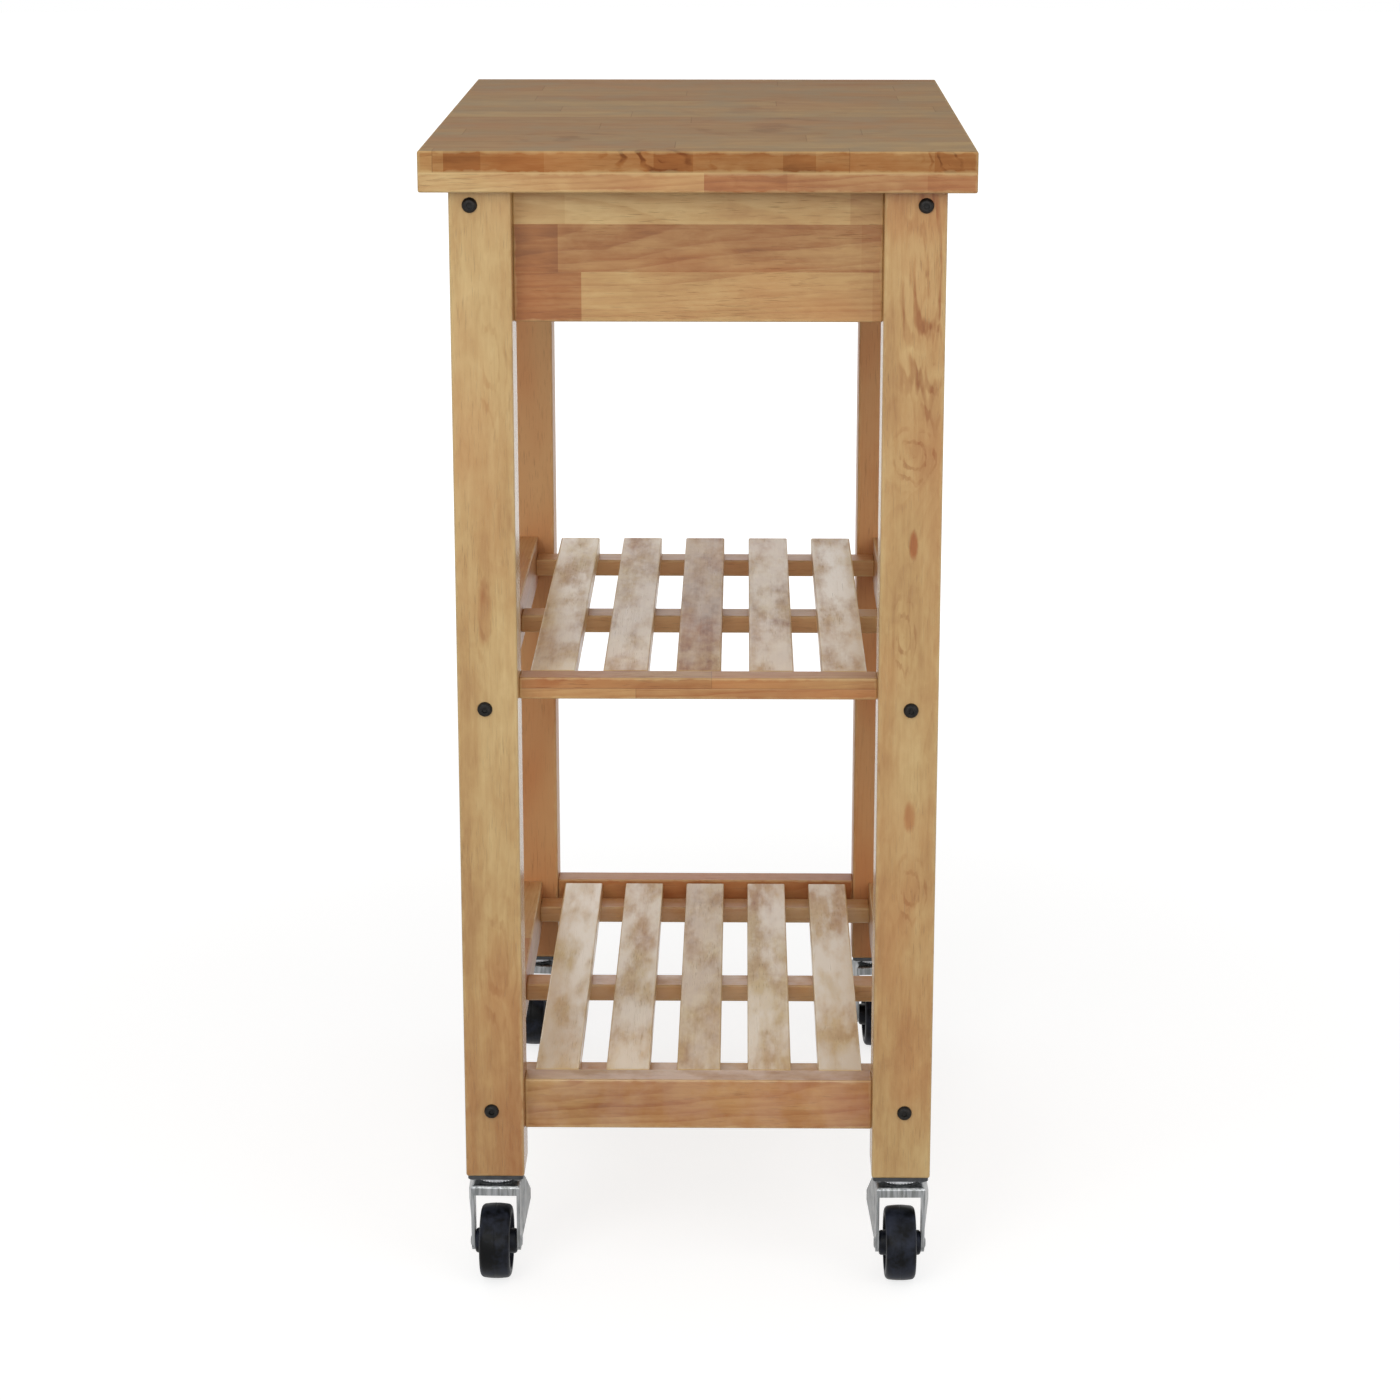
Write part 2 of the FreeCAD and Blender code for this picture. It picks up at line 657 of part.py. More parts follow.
def make_bracket_screws():
    screw = make_screw("bracket_thickness + bracket_screw_bite")
    places = []
    for side, step in bracket_spots():
        y = times(step, BRACKET_SPREAD)
        up = (times(side, f"{BRACKET_X} - bracket_hole_reach"), y, "-bracket_thickness")
        places.append((up, UPRIGHT, 0))
        out = (times(side, f"{BRACKET_X} - bracket_thickness"), y, "-bracket_hole_reach")
        places.append((out, ALONG, 90 * side))
    copies("bracket_screws", screw, places, z=LEG_TOP)


# Casters: each is drawn about its kingpin, with its origin on the floor


def make_plate():
    """Mounting plate with the raceway under it, and the kingpin riveted over under the fork's crown."""
    body = new_body()
    sketch = new_sketch(body, "z", "caster_height - plate_thickness")
    rectangle(sketch, "plate_size", "plate_size")
    pad(body, sketch, "plate_thickness")
    ease(body, "plate_corner", lambda edge: edge.BoundBox.ZLength > edge.BoundBox.XLength)
    sketch = new_sketch(body, "y")
    plate_under = "caster_height - plate_thickness"
    race, neck, pin, head = (f"{name}_diameter / 2" for name in ("race", "neck", "kingpin", "kingpin_head"))
    race_under = f"{plate_under} - race_height"
    neck_under = f"{CROWN_TOP} + swivel_gap"
    head_under = f"{KINGPIN_HEAD_TOP} - kingpin_head_height"
    spots = [(0, plate_under), (race, plate_under), (race, race_under), (neck, race_under)]
    spots += [(neck, neck_under), (pin, neck_under), (pin, KINGPIN_HEAD_TOP), (head, KINGPIN_HEAD_TOP)]
    outline(sketch, spots + [(head, head_under), (0, head_under)])
    revolve(body, sketch, "V_Axis")
    spots = [(times(x, PLATE_HOLE), times(y, PLATE_HOLE)) for x in (-1, 1) for y in (-1, 1)]
    start = "caster_height - plate_thickness - overrun"
    drill(body, "z", SCREW_BORE, spots, start, "plate_thickness + 2 * overrun", 1)
    return body


def fork_side(sketch):
    """The fork from the side: upright in front, tapering behind, and round about the axle."""
    back = "crown_back"
    axle = FreeCAD.Vector(-measure("trail"), measure("wheel_diameter / 2"), 0)
    radius = measure("fork_foot_radius")
    top, taper = measure(CROWN_TOP), measure("fork_taper_height")
    front_end, back_end = -math.pi, -math.pi / 4
    foot = Part.ArcOfCircle(Part.Circle(axle, UPRIGHT, radius), front_end, back_end)
    corners = [foot.EndPoint, FreeCAD.Vector(measure(back), taper, 0), FreeCAD.Vector(measure(back), top, 0)]
    corners += [FreeCAD.Vector(-measure(FORK_FRONT), top, 0), foot.StartPoint]
    for here, there in zip(corners, corners[1:]):
        sketch.addGeometry(Part.LineSegment(here, there))
    sketch.addGeometry(foot)
    taper_line, back_line, top_line, front_line, foot_arc = range(5)
    for line, following in ((taper_line, back_line), (back_line, top_line), (top_line, front_line)):
        sketch.addConstraint(Sketcher.Constraint("Coincident", line, 2, following, 1))
    sketch.addConstraint(Sketcher.Constraint("Tangent", front_line, 2, foot_arc, 1))
    sketch.addConstraint(Sketcher.Constraint("Tangent", taper_line, 1, foot_arc, 2))
    hold(sketch, foot_arc, 3, ("-trail", "wheel_diameter / 2"))
    index = sketch.addConstraint(Sketcher.Constraint("Radius", foot_arc, radius))
    sketch.setExpression(f"Constraints[{index}]", cells("fork_foot_radius"))
    hold(sketch, back_line, 1, (back, "fork_taper_height"))
    hold(sketch, top_line, 1, (back, CROWN_TOP))
    sketch.addConstraint(Sketcher.Constraint("Horizontal", top_line))
    sketch.addConstraint(Sketcher.Constraint("Vertical", front_line))


def arm_line(inset):
    """One side of the fork from above, set in from its outer face: straight past the axle, then spreading."""
    front, back = f"(fork_front_width / 2 - {inset})", f"(fork_back_width / 2 - {inset})"
    straight = [(front, f"-({FORK_FRONT} + overrun)"), (front, "(fork_foot_radius - trail)")]
    return straight + [(back, "crown_back"), (back, "(crown_back + overrun)")]


def make_fork():
    """A pressed yoke: a crown across the top and two arms that spread and fall away to the back."""
    body = new_body()
    sketch = new_sketch(body, "x")
    fork_side(sketch)
    pad(body, sketch, "fork_back_width + 2 * overrun", middle=True)
    sketch = new_sketch(body, "z", "-overrun")
    side, beyond = arm_line(0), "(fork_back_width / 2 + 2 * overrun)"
    outside = side + [(beyond, side[-1][1]), (beyond, side[0][1])]
    outline(sketch, outside)
    outline(sketch, [(f"-{x}", y) for x, y in outside])
    cut(body, sketch, "caster_height", reverse=True)
    sketch = new_sketch(body, "z", "-overrun")
    side = arm_line("fork_thickness")
    outline(sketch, side + [(f"-{x}", y) for x, y in reversed(side)])
    cut(body, sketch, f"{CROWN_UNDER} + overrun", reverse=True)
    top = measure(CROWN_TOP)
    ease(body, "crown_rounding", lambda edge: abs(edge.BoundBox.ZMin - top) < Part.Precision.confusion())
    above, beyond = f"({CROWN_TOP} + overrun)", "(crown_back + overrun)"
    slope = [("shoulder_start", CROWN_TOP), ("shoulder_start", above), (beyond, above)]
    slope += [(beyond, "shoulder_height"), ("crown_back", "shoulder_height")]
    for side in SIDES.values():
        sketch = new_sketch(body, "x", times(side, "crown_tongue_width / 2"))
        outline(sketch, slope)
        cut(body, sketch, "fork_back_width", reverse=side > 0)
    drill(body, "z", "crown_recess_diameter", [(0, 0)], CROWN_UNDER, "crown_height - crown_wall", 1)
    bore = "kingpin_diameter + 2 * running_clearance"
    drill(body, "z", bore, [(0, 0)], f"{CROWN_UNDER} - overrun", "crown_height + 2 * overrun", 1)
    axle = [("-trail", "wheel_diameter / 2")]
    bore = "axle_diameter + 2 * fixing_clearance"
    drill(body, "x", bore, axle, "-fork_back_width", "2 * fork_back_width", 1)
    return body


def make_axle():
    """The pin through the fork's feet, riveted over at both ends."""
    body = new_body()
    sketch = new_sketch(body, "y", "-trail", "wheel_diameter / 2")
    seat, end = "(fork_front_width / 2)", "(fork_front_width / 2 + axle_head_height)"
    pin, head = "axle_diameter / 2", "axle_head_diameter / 2"
    half = [(seat, pin), (seat, head), (end, pin), (end, 0)]
    outline(sketch, half + [(f"-{x}", z) for x, z in reversed(half)])
    revolve(body, sketch, "H_Axis")
    return body


def make_wheel():
    """The wheel: a tread with round shoulders, a dish on each side and a hub that reaches to the fork."""
    body = new_body()
    sketch = new_sketch(body, "y", "-trail", "wheel_diameter / 2")
    bore, hub = "axle_diameter / 2 + running_clearance", "hub_diameter / 2"
    dish, tread = "wheel_dish_diameter / 2", "wheel_diameter / 2"
    face, web = "(wheel_width / 2)", "(wheel_width / 2 - wheel_dish_depth)"
    half = [(HUB_HALF, bore), (HUB_HALF, hub), (web, hub), (web, dish)]
    half += [(face, dish), (face, tread)]
    outline(sketch, half + [(f"-{x}", z) for x, z in reversed(half)])
    revolve(body, sketch, "H_Axis")
    width = measure("wheel_diameter")
    ease(body, "wheel_shoulder", lambda edge: edge.BoundBox.ZLength > width - Part.Precision.confusion())
    return body


def make_caster(end, side):
    turn = times(SIDES[side], f"{end}_turn")
    pieces = {"plate": make_plate(), "fork": make_fork(), "axle": make_axle(), "wheel": make_wheel()}
    for name, piece in pieces.items():
        x, y = times(SIDES[side], LEG_X), times(ENDS[end], LEG_Y)
        place(piece, x, y, 0, 0 if name == "plate" else turn)
        finish(piece, f"caster_{name}_{end}_{side}")


make_top()
for end_name in ENDS:
    for side_name in SIDES:
        make_leg(end_name, side_name)
for side_name in SIDES:
    make_side_apron(side_name)
for shelf_name in SHELVES:
    for side_name in SIDES:
        make_side_rail(shelf_name, side_name)
make_ends()
for shelf_name in SHELVES:
    for bar_name in BAR_Y:
        make_bar(shelf_name, bar_name)
    for slat_number, slat_x in enumerate(slat_places(), start=1):
        make_slat(shelf_name, slat_number, slat_x)
make_bolts()
make_nuts()
make_dowels()
make_slat_screws()
make_caster_screws()
make_brackets()
make_bracket_screws()
for end_name in ENDS:
    for side_name in SIDES:
        make_caster(end_name, side_name)

doc.recompute()
for item in doc.Objects:
    if "Invalid" in item.State or "Error" in item.State:
        raise RuntimeError(f"{item.Label} did not recompute: {item.State}")
for part in parts:
    if part.Shape.isNull() or not part.Shape.isValid():
        raise RuntimeError(f"{part.Label} has no valid shape")

os.makedirs("parts", exist_ok=True)
for part in parts:
    part.Shape.exportStep(f"parts/{part.Label}.step")
box = Part.makeCompound([part.Shape for part in parts]).optimalBoundingBox(False, False)
print(len(parts), "parts, from", box.XMin, box.YMin, box.ZMin, "to", box.XMax, box.YMax, box.ZMax)
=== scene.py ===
"""Finishes, small metal parts and studio for the kitchen trolley.

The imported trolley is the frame. This script gives every board its own piece of wood, puts modelled bolts,
screws, bearing balls and wheels in place of the plain ones, and sets up the floor, the lamps and the camera.
Metres throughout: X across, Y from the near end to the far end, Z up.
"""

import json
import math
from functools import cache

import bmesh
import bpy
from mathutils import Matrix, Vector


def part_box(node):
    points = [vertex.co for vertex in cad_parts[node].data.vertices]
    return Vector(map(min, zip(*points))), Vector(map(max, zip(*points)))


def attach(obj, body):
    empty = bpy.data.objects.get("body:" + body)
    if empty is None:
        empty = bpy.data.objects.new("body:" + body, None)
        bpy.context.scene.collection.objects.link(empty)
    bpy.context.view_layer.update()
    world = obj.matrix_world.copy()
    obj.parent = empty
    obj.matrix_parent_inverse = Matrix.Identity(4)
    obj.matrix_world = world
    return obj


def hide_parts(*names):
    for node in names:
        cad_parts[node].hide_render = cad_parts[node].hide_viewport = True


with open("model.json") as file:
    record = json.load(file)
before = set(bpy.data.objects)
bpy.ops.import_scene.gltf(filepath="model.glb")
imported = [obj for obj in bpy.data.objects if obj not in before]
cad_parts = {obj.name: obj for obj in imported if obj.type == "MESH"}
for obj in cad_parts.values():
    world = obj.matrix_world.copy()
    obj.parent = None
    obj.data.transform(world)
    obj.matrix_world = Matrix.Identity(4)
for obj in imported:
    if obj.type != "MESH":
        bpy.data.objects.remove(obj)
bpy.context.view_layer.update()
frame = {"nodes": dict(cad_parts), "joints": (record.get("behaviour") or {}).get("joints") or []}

bl_info = {
    "name": "Kitchen trolley",
    "version": (1, 0, 0),
    "blender": (4, 5, 0),
    "location": "View3D > Sidebar > Trolley",
    "description": "Wood, steel and plastic finishes, small parts and studio of a slatted kitchen trolley",
    "category": "Object",
}

ENDS = ("near", "far")
SIDES = ("left", "right")
CORNERS = [f"{end}_{side}" for end in ENDS for side in SIDES]
SHELVES = ("upper", "lower")
BARS = ("near", "middle", "far")

RING_WIDTH = 0.0032  # from one growth ring to the next
ARRIS_REACH = 0.003  # how far the wear and the painted highlight of an arris reach into a face
WHEEL_STEPS = 72  # faces round a wheel
FLOOR_RADIUS = 14.0
FLOOR_DROP = 0.0002  # the floor's depth below the wheels
AXES = {"x": (1, 0, 0), "y": (0, 1, 0), "z": (0, 0, 1)}
MIDDLE = (0.5, 0.5, 0.5)  # middle value of a noise's three channels

# Grain of a board, as the turn that brings its length onto the pattern's Z and its face onto its X
TURNS = {
    "x": Matrix(((0, 1, 0), (0, 0, 1), (1, 0, 0))).to_euler(),
    "x_upright": Matrix(((0, 0, 1), (0, -1, 0), (1, 0, 0))).to_euler(),
    "y": Matrix(((1, 0, 0), (0, 0, -1), (0, 1, 0))).to_euler(),
    "y_upright": Matrix(((0, 0, 1), (1, 0, 0), (0, 1, 0))).to_euler(),
    "z": Matrix.Identity(3).to_euler(),
}


def shade(red, green, blue):
    """A colour given as it looks on screen, 0 to 255, as the linear values that materials take."""
    values = []
    for part in (red, green, blue):
        part /= 255
        values.append(part / 12.92 if part <= 0.04045 else ((part + 0.055) / 1.055) ** 2.4)
    return (*values, 1.0)


# Node trees


class Tree:
    """Adds nodes to a tree. A value for a socket is a number or colour, or the socket that feeds it."""

    def __init__(self, tree):
        self.tree = tree

    def feed(self, socket, value):
        if isinstance(value, bpy.types.NodeSocket):
            self.tree.links.new(value, socket)
        elif value is not None:
            socket.default_value = value

    def node(self, kind, inputs=(), **settings):
        node = self.tree.nodes.new(kind)
        for name, value in settings.items():
            setattr(node, name, value)
        for name, value in dict(inputs).items():
            self.feed(node.inputs[name], value)
        return node

    def math(self, operation, first, second=None, third=None, clamp=False):
        values = {0: first, 1: second, 2: third}
        return self.node("ShaderNodeMath", values, operation=operation, use_clamp=clamp).outputs[0]

    def plus(self, first, second, clamp=False):
        return self.math("ADD", first, second, clamp=clamp)

    def minus(self, first, second, clamp=False):
        return self.math("SUBTRACT", first, second, clamp=clamp)

    def times(self, first, second, clamp=False):
        return self.math("MULTIPLY", first, second, clamp=clamp)

    def vector(self, operation, first, second=None, scale=None):
        values = {0: first, 1: second}
        if scale is not None:
            values["Scale"] = scale
        node = self.node("ShaderNodeVectorMath", values, operation=operation)
        return node.outputs["Value" if operation in ("LENGTH", "DOT_PRODUCT") else "Vector"]

    def stretch(self, vector, factors):
        return self.vector("MULTIPLY", vector, factors)

    def split(self, vector):
        return self.node("ShaderNodeSeparateXYZ", {0: vector}).outputs

    def join(self, x, y, z):
        return self.node("ShaderNodeCombineXYZ", {0: x, 1: y, 2: z}).outputs[0]

    def chance(self, dimensions, **inputs):
        return self.node("ShaderNodeTexWhiteNoise", inputs, noise_dimensions=dimensions).outputs

    def noise(self, vector, scale=1.0, detail=2.0, roughness=0.5, distortion=0.0):
        values = {"Vector": vector, "Scale": scale, "Detail": detail, "Roughness": roughness}
        values["Distortion"] = distortion
        return self.node("ShaderNodeTexNoise", values, noise_dimensions="3D").outputs

    def streaks(self, vector, fineness, *more):
        """Noise with a fineness of its own along each axis, per metre."""
        return self.noise(self.stretch(vector, fineness), 1.0, *more)

    def spread(self, value, low, high, to_low=0.0, to_high=1.0, smooth=False):
        values = {0: value, 1: low, 2: high, 3: to_low, 4: to_high}
        kind = "SMOOTHSTEP" if smooth else "LINEAR"
        return self.node("ShaderNodeMapRange", values, interpolation_type=kind, clamp=True).outputs[0]

    def mix(self, factor, first, second):
        node = self.node("ShaderNodeMix", data_type="RGBA", clamp_factor=True)
        for name, value in (("Factor_Float", factor), ("A_Color", first), ("B_Color", second)):
            self.feed(next(socket for socket in node.inputs if socket.identifier == name), value)
        return next(socket for socket in node.outputs if socket.identifier == "Result_Color")

    def stairs(self, value, steps):
        """A level that holds from each step to the next, from a list of (place, level)."""
        node = self.node("ShaderNodeValToRGB", {0: value})
        node.color_ramp.interpolation = "CONSTANT"
        elements = node.color_ramp.elements
        for position, _ in steps[2:]:
            elements.new(position)
        for element, (position, level) in zip(elements, steps):
            element.position = position
            element.color = (level,) * 3 + (1.0,)
        return node.outputs[0]

    def group(self, tree, **inputs):
        node = self.tree.nodes.new("ShaderNodeGroup")
        node.node_tree = tree
        for name, value in inputs.items():
            self.feed(node.inputs[name.replace("_", " ")], value)
        return node.outputs


def new_group(name, inputs, outputs, tree_kind="ShaderNodeTree"):
    """A node group with its inputs and outputs, which are given as the names of each kind of socket."""
    tree = bpy.data.node_groups.new(name, tree_kind)
    for way, sockets in (("INPUT", inputs), ("OUTPUT", outputs)):
        for kind, names in sockets.items():
            for socket_name in names:
                tree.interface.new_socket(socket_name, in_out=way, socket_type=f"NodeSocket{kind}")
    start, end = tree.nodes.new("NodeGroupInput"), tree.nodes.new("NodeGroupOutput")
    return Tree(tree), start.outputs, end.inputs


@cache
def stave_group():
    """Boards glued up from staves: moves the pattern for each stave and gives it a tone of its own."""
    inputs = {"Vector": ["Vector"], "Float": ["Width", "Length", "Seed"]}
    outputs = {"Vector": ["Vector"], "Float": ["Tone", "Tint", "Joint"]}
    build, given, out = new_group("Staves", inputs, outputs)
    x, _, z = build.split(given["Vector"])
    across = build.math("DIVIDE", x, given["Width"])
    row = build.math("FLOOR", across)
    start = build.chance("3D", Vector=build.join(row, given["Seed"], 3.7))["Value"]
    along = build.plus(build.math("DIVIDE", z, given["Length"]), start)
    column = build.math("FLOOR", along)
    dice = build.chance("3D", Vector=build.join(row, column, given["Seed"]))
    centred = build.vector("SUBTRACT", dice["Color"], MIDDLE)
    shift = build.stretch(centred, (0.05, 0.05, 1.3))
    build.feed(out["Vector"], build.vector("ADD", given["Vector"], shift))
    build.feed(out["Tone"], build.minus(dice["Value"], 0.5))
    build.feed(out["Tint"], build.split(centred)[1])
    gaps = []
    for place, size in ((across, given["Width"]), (along, given["Length"])):
        gaps.append(build.times(build.math("PINGPONG", place, 0.5), size))
    build.feed(out["Joint"], build.spread(build.math("MINIMUM", *gaps), 0.0001, 0.0005, 1.0, 0.0))
    return build.tree


@cache
def knot_group():
    """A knot or swirl: a mask for its colour, its push on the rings, and the lines curled round it."""
    outputs = {"Float": ["Mask", "Push", "Lines"]}
    build, given, out = new_group("Knot", {"Vector": ["Vector", "Centre", "Size"]}, outputs)
    away = build.vector("DIVIDE", build.vector("SUBTRACT", given["Vector"], given["Centre"]), given["Size"])
    ragged = build.noise(away, 1.3, 2.0)["Color"]
    bent = build.vector("ADD", away, build.vector("SCALE", ragged, scale=0.5))
    distance = build.vector("LENGTH", build.vector("SUBTRACT", bent, (0.25, 0.25, 0.25)))
    build.feed(out["Mask"], build.spread(distance, 0.45, 1.1, 1.0, 0.0, smooth=True))
    square = build.times(distance, distance)
    build.feed(out["Push"], build.math("DIVIDE", 1.0, build.plus(1.0, build.times(square, 0.5))))
    curl = build.noise(build.stretch(away, (0.8, 0.8, 0.35)), 1.0, 3.0)["Fac"]
    phase = build.plus(build.times(distance, 8.5), build.times(curl, 16.0))
    line = build.spread(build.math("SINE", phase), 0.25, 0.95, smooth=True)
    near = build.spread(distance, 0.9, 2.3, 1.0, 0.0, smooth=True)
    broken = build.spread(build.noise(away, 1.1, 3.0)["Fac"], 0.42, 0.6)
    build.feed(out["Lines"], build.times(build.times(line, near), broken))
    return build.tree


@cache
def wood_group():
    """Plain hardwood, solid right through, with its fibres along Z: growth rings, fibres and pores."""
    inputs = {
        "Vector": ["Vector", "Heart", "Lean"],
        "Float": ["Seed", "Tone", "Tint", "Ring Width", "Figure", "Push", "Mottle", "End"],
        "Color": ["Pale", "Golden", "Brown", "Dark", "Red"],
    }
    build, given, out = new_group("Wood", inputs, {"Color": ["Color"], "Float": ["Roughness", "Height"]})
    seed = given["Seed"]
    offset = build.join(seed, build.times(seed, 0.37), build.times(seed, 1.7))
    spot = build.vector("ADD", given["Vector"], offset)

    # Growth rings about a heart that leans a little from the board's length and wanders
    wander = build.streaks(spot, (10, 10, 2.4))["Color"]
    sway = build.stretch(build.vector("SUBTRACT", wander, MIDDLE), (0.02, 0.02, 0.0))
    ripple = build.streaks(spot, (60, 60, 16))["Color"]
    small = build.stretch(build.vector("SUBTRACT", ripple, MIDDLE), (0.0035, 0.0035, 0.0))
    length = build.split(given["Vector"])[2]
    heart = build.vector("ADD", given["Heart"], build.vector("SCALE", given["Lean"], scale=length))
    bent = build.vector("ADD", build.vector("ADD", given["Vector"], sway), small)
    flat = build.stretch(build.vector("SUBTRACT", bent, heart), (1, 1, 0))
    radius = build.plus(build.vector("LENGTH", flat), build.times(given["Push"], 0.02))
    turns = build.math("DIVIDE", radius, given["Ring Width"])
    year = build.chance("1D", W=build.math("FLOOR", turns))["Value"]
    within = build.math("FRACT", turns)
    late = build.spread(within, 0.35, 0.93, smooth=True)
    fall = build.spread(within, 0.93, 1.0, 1.0, 0.0)
    ring = build.times(build.times(late, fall), build.spread(year, 0.0, 1.0, 0.35, 1.0))

    # Fibres, pores and broad clouds of colour
    fibre = build.streaks(spot, (620, 620, 9), 3.0, 0.6)["Fac"]
    streak = build.streaks(spot, (150, 150, 2.6), 3.0, 0.55)["Fac"]
    dash = build.streaks(spot, (340, 340, 44), 3.0, 0.6)["Fac"]
    pores = build.spread(build.streaks(spot, (1500, 1500, 75), 1.0)["Fac"], 0.62, 0.72)
    crowd = build.spread(build.streaks(spot, (45, 45, 9))["Fac"], 0.35, 0.65, 0.25, 1.0)
    pores = build.times(pores, crowd)
    cloud = build.streaks(spot, (30, 30, 9), 4.0, 0.56)["Fac"]
    blotch = build.streaks(spot, (75, 75, 34), 4.0, 0.6, 0.6)["Fac"]
    blush = build.streaks(spot, (13, 13, 5.5))["Color"]

    tone = given["Tone"]
    for value, amount in ((fibre, 0.12), (streak, 0.24), (dash, 0.2)):
        tone = build.plus(tone, build.times(build.minus(value, 0.5), amount))
    for value, amount in ((cloud, 0.7), (blotch, 0.36)):
        change = build.times(build.minus(value, 0.5), amount)
        tone = build.plus(tone, build.times(change, given["Mottle"]))
    tone = build.plus(tone, build.times(ring, given["Figure"]))
    tone = build.plus(tone, build.times(given["End"], 0.22), clamp=True)
    shades = given["Pale"]
    for low, high, name in ((0.0, 0.34, "Golden"), (0.34, 0.7, "Brown"), (0.7, 1.0, "Dark")):
        shades = build.mix(build.spread(tone, low, high), shades, given[name])
    warm = build.plus(build.spread(build.split(blush)[0], 0.4, 0.7, 0.0, 0.6), given["Tint"])
    colour = build.mix(build.times(warm, 0.6, clamp=True), shades, given["Red"])
    build.feed(out["Color"], build.mix(build.times(pores, 0.3), colour, given["Dark"]))
    build.feed(out["Roughness"], build.plus(build.times(fibre, 0.16), build.times(pores, 0.15)))
    relief = build.minus(build.times(fibre, 0.5), build.times(pores, 0.8))
    build.feed(out["Height"], build.minus(relief, build.times(ring, 0.15)))
    return build.tree


@cache
def edge_group():
    """How near a point of a board is to one of its arrises, from the board's middle and half its size."""
    inputs = {"Vector": ["Vector", "Middle", "Half"]}
    build, given, out = new_group("Edge wear", inputs, {"Float": ["Mask"]})
    away = build.vector("SUBTRACT", given["Vector"], given["Middle"])
    depth = build.vector("SUBTRACT", given["Half"], build.vector("ABSOLUTE", away))
    x, y, z = build.split(depth)
    least = build.math("MINIMUM", build.math("MINIMUM", x, y), z)
    most = build.math("MAXIMUM", build.math("MAXIMUM", x, y), z)
    total = build.plus(build.plus(x, y), z)
    second = build.minus(build.minus(total, least), most)
    rough = build.noise(given["Vector"], 90.0, 3.0)["Fac"]
    reach = build.times(ARRIS_REACH, build.spread(rough, 0.3, 0.75, 0.25, 1.25))
    build.feed(out["Mask"], build.minus(1.0, build.math("DIVIDE", second, reach), clamp=True))
    return build.tree


@cache
def speckle_group():
    """Fine grain of a moulded or plated surface, and patches on it that stand for rubbed spots, dust and
    painted sheen.
    """
    inputs = {"Vector": ["Vector"], "Float": ["Grain", "Patch"]}
    build, given, out = new_group("Speckle", inputs, {"Float": ["Fine", "Patches", "Scratches"]})
    build.feed(out["Fine"], build.noise(given["Vector"], given["Grain"])["Fac"])
    patches = build.noise(given["Vector"], given["Patch"], 4.0, 0.6)["Fac"]
    build.feed(out["Patches"], build.spread(patches, 0.42, 0.66))
    build.feed(out["Scratches"], build.streaks(given["Vector"], (420, 900, 40))["Fac"])
    return build.tree


def new_material(name):
    material = bpy.data.materials.new(name)
    material.use_nodes = True
    build = Tree(material.node_tree)
    shader = material.node_tree.nodes["Principled BSDF"]
    return material, build, shader


def set_shader(build, shader, **values):
    """Feeds the shader's own sockets, which are named with _ for a space."""
    for name, value in values.items():
        build.feed(shader.inputs[name.replace("_", " ")], value)


def bump(build, height, depth, strength):
    values = {"Height": height, "Distance": depth, "Strength": strength}
    return build.node("ShaderNodeBump", values).outputs["Normal"]


def dress(node_name, material):
    """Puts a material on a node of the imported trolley."""
    for slot in frame["nodes"][node_name].material_slots:
        slot.material = material


def object_place(build):
    return build.node("ShaderNodeTexCoord").outputs["Object"]


def speckled(build, vector, grain, patch):
    return build.group(speckle_group(), Vector=vector, Grain=grain, Patch=patch)


